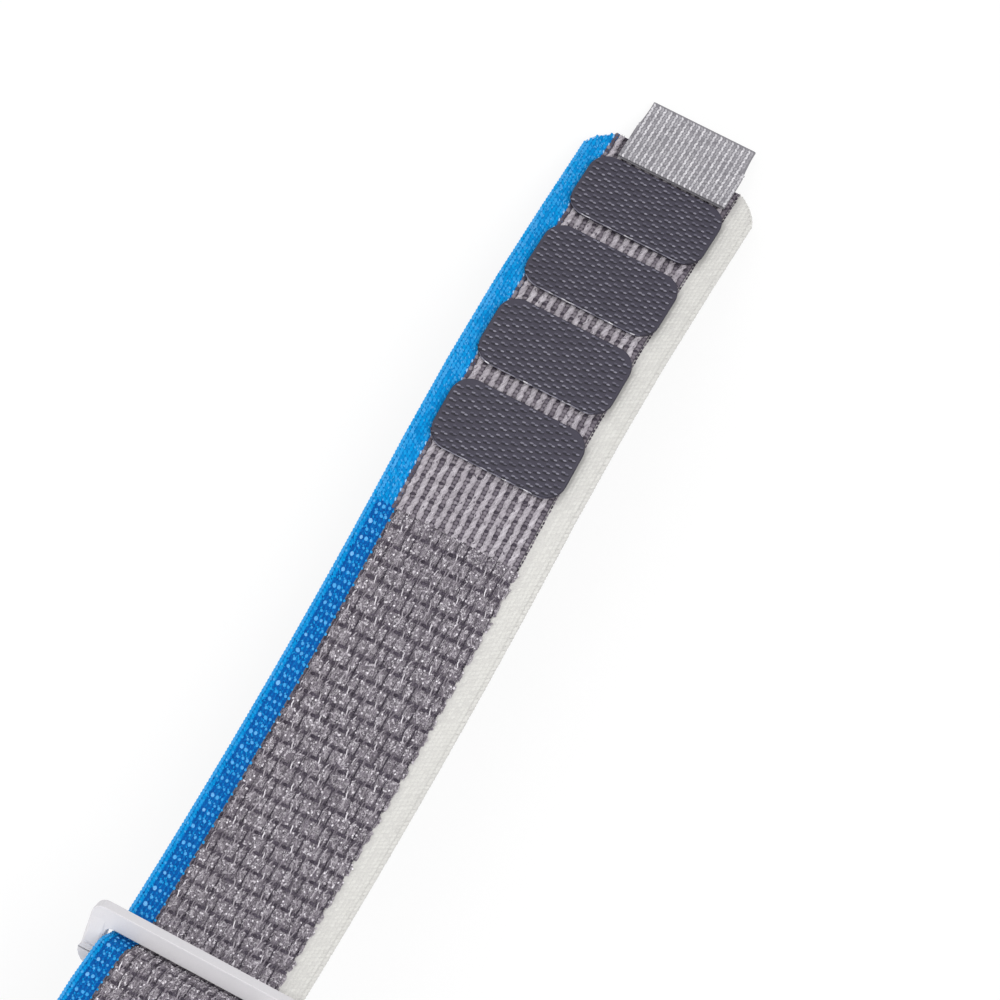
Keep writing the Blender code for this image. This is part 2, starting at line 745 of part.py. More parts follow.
def build():
    """The whole strap."""
    clear_scene()
    parts = new_collection("nylon_watch_strap")
    cutters = new_collection("cutters")
    root = add_joint(parts, "strap", None, Pose(-middle_x(), BAR_HEIGHT, 0))
    slot_rows = [(x, z, strap_columns()) for x, z in slot_path()]
    add_webbing(parts, "slot_webbing", root, Pose(0, 0, 0), slot_rows, STRAP_THICKNESS)
    last = add_main(parts, root)
    add_anchor_loop(parts, last)
    add_tail(parts, root)
    add_lug(parts, cutters, "free_lug", "free_lug_turn", root, Pose(0, 0, FREE_LUG_ANGLE))
    turn = fixed_lug_angle() - main_links()[-1][0].slope
    add_lug(parts, cutters, "fixed_lug", "fixed_lug_pivot", last, Pose(-MAIN_LINK_LENGTH, -LOOP_RADIUS, turn))


build()
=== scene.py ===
"""Looks of the woven hook-and-loop watch strap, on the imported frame.

The webbing is drawn in strap coordinates: s along the strap from the foot under the free lug's bar,
y across it towards the blue edge, and h above its middle line. StrapLine carries those into the row
frame. Lengths are in metres where MM is in the expression, and in millimetres where it isn't.
"""
import json
import logging
import math
from collections.abc import Callable
from dataclasses import dataclass, field
from enum import IntEnum

import bpy
import numpy as np
from mathutils import Matrix, Vector

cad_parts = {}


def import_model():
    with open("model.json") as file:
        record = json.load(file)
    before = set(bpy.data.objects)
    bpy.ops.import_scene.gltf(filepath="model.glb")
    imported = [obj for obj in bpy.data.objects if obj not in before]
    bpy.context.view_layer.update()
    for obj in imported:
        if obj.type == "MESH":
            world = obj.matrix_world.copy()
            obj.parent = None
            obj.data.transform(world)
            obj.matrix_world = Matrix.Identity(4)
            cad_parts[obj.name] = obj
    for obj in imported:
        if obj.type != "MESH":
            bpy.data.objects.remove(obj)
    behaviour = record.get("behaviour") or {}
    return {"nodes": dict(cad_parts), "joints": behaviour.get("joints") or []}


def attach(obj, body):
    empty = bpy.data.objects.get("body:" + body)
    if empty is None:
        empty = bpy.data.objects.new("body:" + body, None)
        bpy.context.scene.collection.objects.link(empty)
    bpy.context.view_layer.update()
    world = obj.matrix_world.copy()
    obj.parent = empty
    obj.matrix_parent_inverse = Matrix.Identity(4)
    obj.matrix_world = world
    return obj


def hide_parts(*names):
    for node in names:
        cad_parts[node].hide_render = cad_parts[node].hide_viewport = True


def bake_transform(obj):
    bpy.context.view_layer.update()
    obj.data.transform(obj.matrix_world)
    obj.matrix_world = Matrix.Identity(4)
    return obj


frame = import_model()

LOG = logging.getLogger("strap")
MM = 0.001

Numbers = float | np.ndarray
Pair = tuple[float, float]

# Strap line: arc length in mm and forward heading in degrees
LINE_KNOTS = (
    (-146.75, 221.08), (-139.75, 221.08), (-138.22, 256.08), (-135.20, 256.08), (-127.09, 41.083),
    (-113.04, 41.083), (-110.94, 36.07), (-6.29, -25.0), (-5.29, -25.0), (-3.22, -64.5), (-2.02, -64.5),
    (0.0, -16.5), (4.0, -16.5), (63.85, 2.07), (65.95, -3.6), (74.8, -3.6), (76.9, -11.3),
    (85.75, -11.3), (87.85, -18.5), (96.7, -18.5), (98.8, -21.1), (113.0, -21.1),
)
# How far the strap lies to the blue side inside the ring: arc length and shift in mm
SHIFT_KNOTS = ((-45, 0), (-30, 0.2), (-20, 0.5), (-10, 0.7), (-4, 0.55), (-1.5, 0.25), (1, 0))
TIP = 110.8 * MM
CORNER_LENGTH = 3.1 * MM

# Zones across the webbing, and along it the ends of the loop pile
HALF_WIDTH = 11.0 * MM
BORDER = 7.9 * MM
FIELD_LOW = -7.65 * MM
FIELD_REACH = (-8.16 * MM, 7.62 * MM)
PILE_END = 57.4 * MM
PILE_BACK_END = -117.0 * MM
SUNK_FROM = -112.0 * MM

# Ribs across the field, with the places of cord and groove as shares of a rib's width
RIB_COUNT = 13
RIB_PITCH = 15.4 * MM / RIB_COUNT
CORD_SHARE = 0.73
GROOVE_SHARE = 0.23
CORD_TWIST = 2.2
NOTCH_START = 57.35 * MM
NOTCH_PITCH = 2.41 * MM

# Rows of pile along the field
ROW_PITCH = 2.133 * MM
ROW_START = 4.05 * MM
MAIN_ROW_SHIFT = 0.55 * MM

# Heights of the cloth's outer faces
EDGE_TOP = 0.5 * MM

# Joints along the strap in mm, and half the length that bends at each
MAIN_END = -146.747
HALF_LINK = 7.55
MAIN_JOINTS = tuple(-21.39 - 15.1 * i for i in range(7))
TAIL_JOINTS = (24.3, 44.6, 64.9, 75.85, 86.8, 97.75)
TAIL_START = TAIL_JOINTS[0] - 10.15
MAIN_BEND = 6.0
TAIL_BENDS = (5.0, 5.0, 1.1, 1.1, 1.1, 1.1)

# From each joint under a hook pad to the pad's edge, in mm
PAD_INSETS = (0.83, 0.81, 0.7, 0.6)

# The webbing's section, round from the white edge: y and h in mm
PROFILE = (
    (-10.75, 0.40), (-10.4, 0.48), (-9.4, 0.5), (-8.1, 0.48), (-7.75, 0.3), (-7.6, 0.3), (-5.7, 0.3),
    (-3.8, 0.3), (-1.9, 0.3), (0, 0.3), (1.9, 0.3), (3.8, 0.3), (5.7, 0.3), (7.6, 0.3), (7.95, 0.3),
    (8.25, 0.48), (9.4, 0.5), (10.4, 0.48), (10.75, 0.40), (10.93, 0.2), (10.96, -0.1), (10.9, -0.35),
    (10.65, -0.56), (10.0, -0.62), (8.0, -0.62), (5.0, -0.62), (0.0, -0.62), (-5.0, -0.62), (-8.0, -0.62),
    (-10.0, -0.62), (-10.65, -0.56), (-10.9, -0.35), (-10.96, -0.1), (-10.93, 0.2),
)
# The section's lower point for each of its first 19, which are the upper ones
CAP_LOWER = (33, 32, 31, 30, 29, 28, 28, 27, 27, 26, 26, 25, 25, 24, 24, 23, 22, 21, 20)


class Yarn(IntEnum):
    """Which yarn a piece of the webbing is made of, as its material number."""

    BLUE = 0
    GREY = 1
    WHITE = 2


@dataclass(frozen=True)
class Block:
    """One block of pile in the twill's cell: places in ribs across it and in rows along it."""

    across: Pair
    along: Pair
    streak: tuple[Pair, Pair]
    # Places of the two painted highlights on turns of yarn
    specks: tuple[Pair, Pair]


@dataclass(frozen=True)
class PaintedShade:
    """One place of painted shade in the twill's cell: its middle and size in ribs and rows, with its tone."""

    across: float
    along: float
    width: float
    length: float
    tone: float


BLOCKS = (
    Block((-0.1, 0.95), (0.2, 1.04), ((0.58, 0.3), (0.44, 1.0)), ((0.6, 0.8), (0.56, 0.38))),
    Block((0.93, 1.86), (0.2, 1.02), ((1.2, 0.3), (1.66, 0.74)), ((1.09, 0.79), (1.22, 0.38))),
    Block((2.0, 2.8), (0.22, 0.98), ((2.15, 0.34), (2.58, 0.8)), ((2.57, 0.78), (2.2, 0.41))),
)
# Dark spots in the hollows between the pile blocks: painted shade
PAINTED_SHADES = (
    PaintedShade(1.9, 0.2, 0.18, 0.6, 0.04), PaintedShade(1.95, 0.74, 0.15, 0.46, 0.12), PaintedShade(2.88, 0.6, 0.14, 0.8, 0.2),
    PaintedShade(0.22, 0.1, 0.4, 0.18, 0.08), PaintedShade(1.02, 0.1, 0.36, 0.16, 0.12), PaintedShade(2.2, 0.1, 0.2, 0.18, 0.16),
    PaintedShade(2.9, 0.1, 0.24, 0.2, 0.14), PaintedShade(0.92, 0.6, 0.06, 0.5, 0.3),
)
# The thick yarns that cross the cell: two ends in ribs and rows, and a tone
YARNS = (
    ((2.4, -0.14), (2.6, 0.4), 0.8), ((1.63, -0.16), (1.5, 0.12), 0.66), ((0.6, -0.06), (0.5, 0.3), 0.46),
    ((0.75, -0.1), (0.78, 0.26), 0.36), ((2.24, -0.05), (2.2, 0.3), 0.4), ((1.36, -0.05), (1.3, 0.28), 0.36),
)


@dataclass(frozen=True)
class Area:
    """The ground under one mound of pile: from low to high along the strap and left to right across it."""

    low: float
    high: float
    left: float
    right: float

    @property
    def middle(self) -> float:
        """Its middle along the strap."""
        return (self.low + self.high) / 2

    @property
    def centre(self) -> float:
        """Its middle across the strap."""
        return (self.left + self.right) / 2

    @property
    def length(self) -> float:
        """Its size along the strap."""
        return self.high - self.low

    @property
    def width(self) -> float:
        """Its size across the strap."""
        return self.right - self.left


@dataclass(frozen=True)
class Cell:
    """One repeat of the twill, three ribs by one row: where it starts along and across the strap."""

    gap: float
    side: float

    def along(self, rows: Numbers) -> Numbers:
        """A place along the strap from a number of rows."""
        return self.gap + rows * ROW_PITCH

    def across(self, ribs: Numbers) -> Numbers:
        """A place across the strap from a number of ribs."""
        return self.side + ribs * RIB_PITCH


def in_field(y: float) -> bool:
    """Whether a place across the strap lies in the field between the edges."""
    return FIELD_REACH[0] < y < FIELD_REACH[1]


@dataclass
class StrapLine:
    """The webbing's middle line, and the way from strap coordinates to the row frame."""

    foot: Pair
    knots: tuple[Pair, ...] = LINE_KNOTS
    step: float = 0.04 * MM
    s: np.ndarray = field(init=False)
    x: np.ndarray = field(init=False)
    z: np.ndarray = field(init=False)
    heading: np.ndarray = field(init=False)

    def __post_init__(self) -> None:
        """Integrate the headings both ways from the foot."""
        at, turn = np.array(self.knots).T
        self.s = np.arange(at[0] * MM, at[-1] * MM, self.step)
        self.heading = np.radians(np.interp(self.s / MM, at, turn))
        middle = (self.heading[1:] + self.heading[:-1]) / 2
        x = np.concatenate([[0], np.cumsum(np.cos(middle) * self.step)])
        z = np.concatenate([[0], np.cumsum(np.sin(middle) * self.step)])
        self.x = x - np.interp(0, self.s, x) + self.foot[0]
        self.z = z - np.interp(0, self.s, z) + self.foot[1]

    def place(self, points: np.ndarray) -> np.ndarray:
        """Carry strap coordinates into the row frame.

        Args:
            points: (n, 3) places as s, y and h

        Returns:
            The same places as (n, 3) x, y and z.
        """
        s, y, h = points[:, 0], points[:, 1], points[:, 2]
        turn = np.interp(s, self.s, self.heading)
        shift = np.interp(s / MM, *np.array(SHIFT_KNOTS).T) * MM
        x = np.interp(s, self.s, self.x) - h * np.sin(turn)
        z = np.interp(s, self.s, self.z) + h * np.cos(turn)
        return np.stack([x, y + shift, z], axis=1)

    def point(self, s: float, y: float = 0.0, h: float = 0.0) -> Vector:
        """One point of the strap in the row frame."""
        return Vector(self.place(np.array([[s, y, h]]))[0])


@dataclass
class MeshBag:
    """Vertices in strap coordinates with quads, tones and material numbers, gathered and then built."""

    points: list[np.ndarray] = field(default_factory=list)
    quads: list[np.ndarray] = field(default_factory=list)
    tones: list[np.ndarray] = field(default_factory=list)
    kinds: list[np.ndarray] = field(default_factory=list)
    count: int = 0

    def add(self, points: np.ndarray, quads: np.ndarray, tones: Numbers, kind: Numbers) -> None:
        """Add vertices with the quads between them.

        Args:
            points: (n, 3) vertices
            quads: (m, 4) vertex numbers, from 0 for the first of these vertices
            tones: one tone, or (n,)
            kind: one material number, or (m,)
        """
        self.points.append(points)
        self.tones.append(np.broadcast_to(tones, len(points)))
        self.close(quads + self.count, kind)
        self.count += len(points)

    def close(self, quads: np.ndarray, kind: Numbers) -> None:
        """Add quads between vertices that are already in the bag.

        Args:
            quads: (m, 4) vertex numbers, counted through the whole bag
            kind: one material number, or (m,)
        """
        self.quads.append(quads)
        self.kinds.append(np.broadcast_to(kind, len(quads)))

    def build(self, name: str, place: Callable[[np.ndarray], np.ndarray],
              materials: list[bpy.types.Material]) -> bpy.types.Object:
        """Make the object, with its tones kept as an attribute.

        Args:
            name: the object's name
            place: carries the vertices into the row frame
            materials: the materials, in the order of their numbers

        Returns:
            The new object, linked to the scene.
        """
        quads = np.concatenate(self.quads)
        world = place(np.concatenate(self.points))
        mesh = bpy.data.meshes.new(name)
        mesh.vertices.add(len(world))
        mesh.vertices.foreach_set("co", world.astype(np.float32).ravel())
        mesh.loops.add(quads.size)
        mesh.loops.foreach_set("vertex_index", quads.astype(np.int32).ravel())
        mesh.polygons.add(len(quads))
        mesh.polygons.foreach_set("loop_start", np.arange(0, quads.size, 4, dtype=np.int32))
        mesh.polygons.foreach_set("material_index", np.concatenate(self.kinds).astype(np.int32))
        mesh.polygons.foreach_set("use_smooth", np.ones(len(quads), dtype=bool))
        for material in materials:
            mesh.materials.append(material)
        tone = mesh.attributes.new("tone", "FLOAT", "POINT")
        tone.data.foreach_set("value", np.concatenate(self.tones).astype(np.float32))
        mesh.update(calc_edges=True)
        item = bpy.data.objects.new(name, mesh)
        bpy.context.scene.collection.objects.link(item)
        LOG.info("%s: %d faces", item.name, len(quads))
        return item


def points_at(s: Numbers | list[float], y: Numbers, h: Numbers) -> np.ndarray:
    """Points from places along, across and above the strap, each a number or an array."""
    return np.stack(np.broadcast_arrays(s, y, h), axis=-1)


def grid_quads(rows: int, columns: int, closed: bool = False) -> np.ndarray:
    """Quads of a grid of vertices.

    Args:
        rows: number of rows
        columns: number of vertices in a row
        closed: whether the last column joins the first

    Returns:
        (m, 4) vertex numbers.
    """
    r, c = np.meshgrid(np.arange(rows - 1), np.arange(columns if closed else columns - 1), indexing="ij")
    d = (c + 1) % columns
    quads = [r * columns + c, r * columns + d, (r + 1) * columns + d, (r + 1) * columns + c]
    return np.stack([q.ravel() for q in quads], axis=1)


def ring_quads(first: int, size: int) -> np.ndarray:
    """Quads that fill a ring of vertices, side to side.

    Args:
        first: number of the ring's first vertex
        size: how many vertices the ring has, an even number

    Returns:
        (m, 4) vertex numbers.
    """
    i = np.arange(size // 2 - 1)
    return first + np.stack([i, i + 1, size - 2 - i, size - 1 - i], axis=1)


def domes(bag: MeshBag, centres: np.ndarray, length: Numbers, width: Numbers, height: Numbers, slant: Numbers,
          tones: Numbers, kind: int, shape: tuple[int, int] = (5, 4)) -> None:
    """Add small rounded floats of yarn, whose sizes are one number for all or (n,).

    Args:
        bag: the mesh that they join
        centres: (n, 3) middles
        length: size along the float
        width: size across it
        height: rise of its top, with its rim a quarter of that below the middle
        slant: turn from the strap's direction, in radians
        tones: tone of the yarn
        kind: material number
        shape: how many vertices it has along and across
    """
    centres = np.atleast_2d(centres)
    n = len(centres)
    if n == 0:
        return
    length, width, height, slant, tones = (
        np.broadcast_to(np.asarray(a, float), (n,))[:, None] for a in (length, width, height, slant, tones)
    )
    u, v = np.meshgrid(np.linspace(-1, 1, shape[0]), np.linspace(-1, 1, shape[1]), indexing="ij")
    u, v = np.sin(u * math.pi / 2).ravel()[None], np.sin(v * math.pi / 2).ravel()[None]
    narrow = np.sqrt(np.clip(1 - 0.92 * u ** 2, 0, 1))
    along, across = u * length / 2, v * narrow * width / 2
    rise = height * (np.sqrt(np.clip(1 - u ** 2, 0, 1)) * np.sqrt(np.clip(1 - v ** 2, 0, 1)) * 1.25 - 0.25)
    s = centres[:, :1] + along * np.cos(slant) - across * np.sin(slant)
    y = centres[:, 1:2] + along * np.sin(slant) + across * np.cos(slant)
    size = shape[0] * shape[1]
    quads = (grid_quads(*shape)[None, :, ::-1] + (np.arange(n) * size)[:, None, None]).reshape(-1, 4)
    points = points_at(s, y, centres[:, 2:] + rise).reshape(-1, 3)
    bag.add(points, quads, np.broadcast_to(tones, (n, size)).ravel(), kind)


def tubes(bag: MeshBag, paths: np.ndarray, radius: Numbers, side: tuple[float, float, float], tones: Numbers,
          kind: int, sides: int = 3) -> None:
    """Add thin yarns.

    Args:
        bag: the mesh that they join
        paths: (n, m, 3) points of n yarns
        radius: one number, or (n, m)
        side: direction that lies across every yarn
        tones: one number, or (n,)
        kind: material number
        sides: how many faces go round a yarn
    """
    n, m, _ = paths.shape
    if n == 0:
        return
    along = np.gradient(paths, axis=1)
    along /= np.linalg.norm(along, axis=2, keepdims=True) + 1e-12
    side = np.broadcast_to(np.asarray(side, float), paths.shape)
    across = side - (side * along).sum(axis=2, keepdims=True) * along
    across /= np.linalg.norm(across, axis=2, keepdims=True) + 1e-12
    up = np.cross(along, across)
    angles = (np.arange(sides) * 2 * math.pi / sides + math.pi / 2)[None, None, :, None]
    radius = np.broadcast_to(np.asarray(radius, float), (n, m))[:, :, None, None]
    ring = np.cos(angles) * across[:, :, None] + np.sin(angles) * up[:, :, None]
    points = (paths[:, :, None] + radius * ring).reshape(-1, 3)
    quads = (grid_quads(m, sides, True)[None] + (np.arange(n) * m * sides)[:, None, None]).reshape(-1, 4)
    tones = np.broadcast_to(np.asarray(tones, float).reshape(-1, 1), (n, m * sides)).ravel()
    bag.add(points, quads, tones, kind)


def half_width(s: np.ndarray) -> np.ndarray:
    """Half the strap's width, less where the free end's corners are cut."""
    share = np.clip((s - (TIP - CORNER_LENGTH)) / CORNER_LENGTH, 0, 1)
    return HALF_WIDTH - (HALF_WIDTH - BORDER) * share ** 1.5


def yarn_at(y: Numbers) -> np.ndarray:
    """The material number of the ground at a place across the webbing."""
    return np.where(y > BORDER, Yarn.BLUE.value, np.where(y < -BORDER, Yarn.WHITE.value, Yarn.GREY.value))


def sunk(s: np.ndarray) -> np.ndarray:
    """How much lower the ribs lie where the end is folded and sewn."""
    return np.where(s < SUNK_FROM, 0.2 * MM, 0)


class Noise:
    """Random numbers that come out the same in every run."""

    def __init__(self, seed: int) -> None:
        """Start from a seed."""
        self.source = np.random.default_rng(seed)

    def spread(self, size: int | tuple[int, ...], amount: float, middle: Numbers = 0.0) -> np.ndarray:
        """Numbers spread evenly by an amount either side of a middle."""
        return middle + self.source.uniform(-amount, amount, size)


@dataclass
class Webbing:
    """One length of the woven webbing, from start to stop, with its ground, edges, ribs and pile."""

    name: str
    start: float
    stop: float
    line: StrapLine
    materials: list[bpy.types.Material]
    seed: int
    capped: bool = False
    fine_step: float = 0.2 * MM
    coarse_step: float = 0.6 * MM
    edge_columns: int = 7
    ply_radius: float = 0.24 * MM
    ply_offset: float = 0.16 * MM
    back_columns: int = 33
    stitch_rows: tuple[float, ...] = (-118.2, -119.6, -124.4, -125.8)
    bag: MeshBag = field(init=False)
    noise: Noise = field(init=False)

    def __post_init__(self) -> None:
        """Start an empty mesh and this length's own random numbers."""
        self.bag = MeshBag()
        self.noise = Noise(self.seed)

    def build(self) -> bpy.types.Object:
        """Build the length.

        Returns:
            One object with the three yarn materials.
        """
        self.ground()
        self.edge(Yarn.BLUE, 1)
        self.edge(Yarn.WHITE, -1)
        self.borders()
        self.ribs()
        self.pile()
        self.back()
        if self.start < -130 * MM:
            self.stitches()
        return self.bag.build(self.name, self.line.place, self.materials)

    def lattice(self, first: float, pitch: float) -> np.ndarray:
        """Places along this length on a lattice that runs through the whole strap.

        Args:
            first: one place of the lattice
            pitch: distance between places

        Returns:
            The places from start up to stop.
        """
        low = math.ceil((self.start - first) / pitch)
        high = math.ceil((self.stop - first) / pitch)
        return first + pitch * np.arange(low, high)

    def ground(self) -> None:
        """The closed ground of the cloth, finer where it bends sharply."""
        sharp = self.start < 3 * MM and self.stop > -8 * MM or self.start < -120 * MM
        step = self.fine_step if sharp else self.coarse_step
        count = max(2, int(math.ceil((self.stop - self.start) / step)) + 1)
        s = np.linspace(self.start, self.stop, count)
        if self.capped and self.stop > 0:
            s = np.unique(np.concatenate([s, TIP - np.array([0.02, 0.1, 0.25, 0.5, 0.9]) * MM]))
        profile = np.array(PROFILE) * MM
        size = len(profile)
        y = np.broadcast_to(profile[:, 0], (len(s), size))
        limit = half_width(s)[:, None] - 0.05 * MM
        squeezed = BORDER + (np.abs(y) - BORDER) * (limit - BORDER + 0.02 * MM) / (HALF_WIDTH - BORDER)
        y = np.where(np.abs(y) > BORDER, np.sign(y) * squeezed, y)
        points = points_at(s[:, None], y, profile[:, 1]).reshape(-1, 3)
        kinds = yarn_at(np.roll(profile[:, 0], -1) / 2 + profile[:, 0] / 2)
        low = profile[:, 1] < -0.5 * MM
        tones = np.where(low, 0.42, np.where(np.abs(profile[:, 0]) > BORDER, 0.36, 0.2))
        first = self.bag.count
        self.bag.add(points, grid_quads(len(s), size, True), np.tile(tones, len(s)), np.tile(kinds, len(s) - 1))
        if self.capped:
            row = 0 if self.stop < 0 else len(s) - 1
            self.cap(first + row * size, s[row] > 0)

    def cap(self, first: int, forward: bool) -> None:
        """Close a cut end with strips between the cloth's two faces.

        Args:
            first: number of the end row's first vertex
            forward: whether the end looks along the strap
        """
        upper, lower = np.arange(len(CAP_LOWER)), np.array(CAP_LOWER)
        quads = first + np.stack([upper[:-1], upper[1:], lower[1:], lower[:-1]], axis=1)
        self.bag.close(quads if forward else quads[:, ::-1], Yarn.GREY)

    def edge(self, yarn: Yarn, way: int) -> None:
        """The floats of a coloured edge on the outer face, and round the selvedge.

        Args:
            yarn: the edge's yarn, blue or white
            way: 1 for the edge at positive y, -1 for the other
        """
        blue = yarn is Yarn.BLUE
        pitch = (0.46 if blue else 0.52) * MM
        for column in range(self.edge_columns):
            y = way * (8.18 + 0.44 * column) * MM
            s = self.lattice(pitch * 0.5 * (column % 2), pitch)
            s = s + self.noise.spread(len(s), 0.05 * MM)
            s = s[np.abs(y) < half_width(s) - 0.15 * MM]
            s = s[s < (PILE_END if blue and column == 0 else TIP - 0.34 * MM)]
            tone = self.noise.spread(len(s), 0.08 if blue else 0.1, 0.5)
            tone = np.where((s < PILE_END) & blue, tone * 0.6 - 0.05, tone)
            if column >= 5 and blue:
                tone = np.where(s < PILE_END, tone + 0.12 * column - 0.36, tone + 0.08)
            # The two white columns next to the grey field are darker: painted shade beside the field
            if column < 2 and not blue:
                tone = tone - 0.24 + 0.14 * column
            h = EDGE_TOP - (0.05 * MM if column in (0, self.edge_columns - 1) else 0)
            relief = np.where(s > PILE_END, 0.035, 0.08) if blue else 0.045
            domes(self.bag, points_at(s, y, h), 0.62 * MM, 0.36 * MM, relief * MM, way * 0.5, tone, yarn)
        s = self.lattice(0.1 * MM, 0.42 * MM)
        if self.stop > TIP - 0.1 * MM:
            s = np.concatenate([s, TIP - np.arange(0.36, 2.2, 0.14) * MM])
        s = s[s < TIP - 0.3 * MM]
        for h, out in ((0.22 * MM, -0.12 * MM), (-0.12 * MM, -0.08 * MM), (-0.42 * MM, -0.16 * MM)):
            y = way * (half_width(s) + out + self.noise.spread(len(s), 0.02 * MM))
            tone = self.noise.spread(len(s), 0.08, 0.88 if blue else 0.5)
            self.selvedge_beads(points_at(s + self.noise.spread(len(s), 0.05 * MM), y, h), tone, yarn)
        if blue:
            self.blue_floats()
            self.blue_specks()

    def selvedge_beads(self, centres: np.ndarray, tone: np.ndarray, yarn: Yarn) -> None:
        """Rounded turns of weft on the selvedge, as short closed tubes.

        Args:
            centres: (n, 3) middles
            tone: (n,) tones
            yarn: the edge's yarn
        """
        steps = np.linspace(-1, 1, 5)[None, :, None]
        paths = centres[:, None] + steps * np.array([0.3 * MM, 0, 0.05 * MM])
        radius = np.array([0.02, 0.13, 0.17, 0.13, 0.02])[None] * MM
        tubes(self.bag, paths, np.broadcast_to(radius, paths.shape[:2]), (0, 1, 0), tone, yarn, 6)

    def blue_floats(self) -> None:
        """The pale stitches on the blue edge beside the pile, in rows of three and four by turns."""
        rows = self.lattice(ROW_START - 0.46 * MM, ROW_PITCH / 2)
        for row in rows[(rows < PILE_END) & (rows > PILE_BACK_END)]:
            row = row + (MAIN_ROW_SHIFT if row < 0 else 0)
            odd = round((row - ROW_START + 0.2 * MM) / (ROW_PITCH / 2)) % 2
            y = np.array((7.84, 8.27, 8.88, 9.54, 10.22) if odd else (7.92, 8.46, 9.07, 9.73, 10.42)) * MM
            s = row + self.noise.spread(5, 0.09 * MM)
            centres = points_at(s, y + self.noise.spread(5, 0.06 * MM), EDGE_TOP + 0.07 * MM)
            pale = (0.62, 0.66, 0.66, 0.68, 0.6) if odd else (0.6, 0.68, 0.72, 0.8, 0.64)
            tone = self.noise.spread(5, 0.08) + np.array(pale)
            size = np.array((0.36, 0.4, 0.4, 0.4, 0.34) if odd else (0.3, 0.42, 0.46, 0.52, 0.34)) * MM
            size = size * self.noise.spread(5, 0.16, 1.0)
            slant = self.noise.spread(5, 0.5, 0.4)
            domes(self.bag, centres, size, size * 0.85, 0.08 * MM, slant, tone - 0.03, Yarn.BLUE)
            if odd:
                peaks = centres[1:4] + np.array([0.26, 0.2, 0]) * MM
                domes(self.bag, peaks, 0.24 * MM, 0.22 * MM, 0.07 * MM, 0.0, tone[1:4] - 0.1, Yarn.BLUE, (4, 3))

    def blue_specks(self) -> None:
        """The light and deep flecks of the blue edge, fewer and duller between the pale stitches."""
        for low, high, amount, pale, deep in ((max(self.start, PILE_END), self.stop, 10, 0.68, 0.4),
                                              (self.start, min(self.stop, PILE_END), 7, 0.52, 0.14)):
            if high <= low:
                continue
            count = int((high - low) / MM * amount)
            s = self.noise.spread(count, (high - low) / 2, (high + low) / 2)
            y = self.noise.spread(count, 1.2 * MM, 9.6 * MM)
            rows = points_at(s, y, EDGE_TOP + 0.05 * MM)[y < half_width(s) - 0.4 * MM]
            tone = np.where(self.noise.spread(len(rows), 1.0) > -0.2, pale, deep)
            slant = self.noise.spread(len(rows), 0.6, 0.4)
            domes(self.bag, rows, 0.3 * MM, 0.16 * MM, 0.045 * MM, slant, tone, Yarn.BLUE, (4, 3))

    def borders(self) -> None:
        """The dotted lines between the field and its edges, and pale specks between ribs and blue."""
        for way in (1, -1):
            s = self.lattice(0.0, 0.5 * MM)
            s = s[s < TIP - 0.2 * MM]
            plain = (s > PILE_END) | (s < PILE_BACK_END)
            if way > 0:
                wide = plain
                y = np.where(plain, BORDER + 0.22 * MM, BORDER - 0.22 * MM)
            else:
                s = s[plain]
                wide = np.zeros(len(s), dtype=bool)
                y = np.full(len(s), -BORDER - 0.02 * MM)
            y = y + self.noise.spread(len(s), 0.05 * MM)
            tone = np.where(self.noise.spread(len(s), 1.0) > 0.2, 0.38, self.noise.spread(len(s), 0.06, 0.06))
            tone = np.where(wide, tone + 0.1, tone)
            length, width = np.where(wide, 0.62, 0.44) * MM, np.where(wide, 0.5, 0.26) * MM
            rows = points_at(s, y, np.where(wide, 0.48, 0.42) * MM)
            domes(self.bag, rows, length, width, 0.14 * MM, 0.0, tone, Yarn.GREY)
        s = self.lattice(0.4 * MM, NOTCH_PITCH / 2)
        s = s[(s > PILE_END + 0.5 * MM) & (s < TIP - 0.6 * MM)]
        rows = points_at(s, BORDER + 0.44 * MM, 0.55 * MM)
        rows = rows + self.noise.spread(rows.shape, 0.04 * MM)
        domes(self.bag, rows, 0.44 * MM, 0.2 * MM, 0.08 * MM, 0.3, 0.95, Yarn.BLUE)

    def ribs(self) -> None:
        """The plain ribbed weave near the free end and round the sewn loop."""
        for low, high in ((self.start, min(self.stop, PILE_BACK_END)),
                          (max(self.start, PILE_END), min(self.stop, TIP - 0.25 * MM))):
            if high - low < 0.5 * MM:
                continue
            for rib in range(RIB_COUNT):
                side = FIELD_LOW + rib * RIB_PITCH
                self.cord(low, high, side + CORD_SHARE * RIB_PITCH, rib)
                self.groove(low, high, side + GROOVE_SHARE * RIB_PITCH)

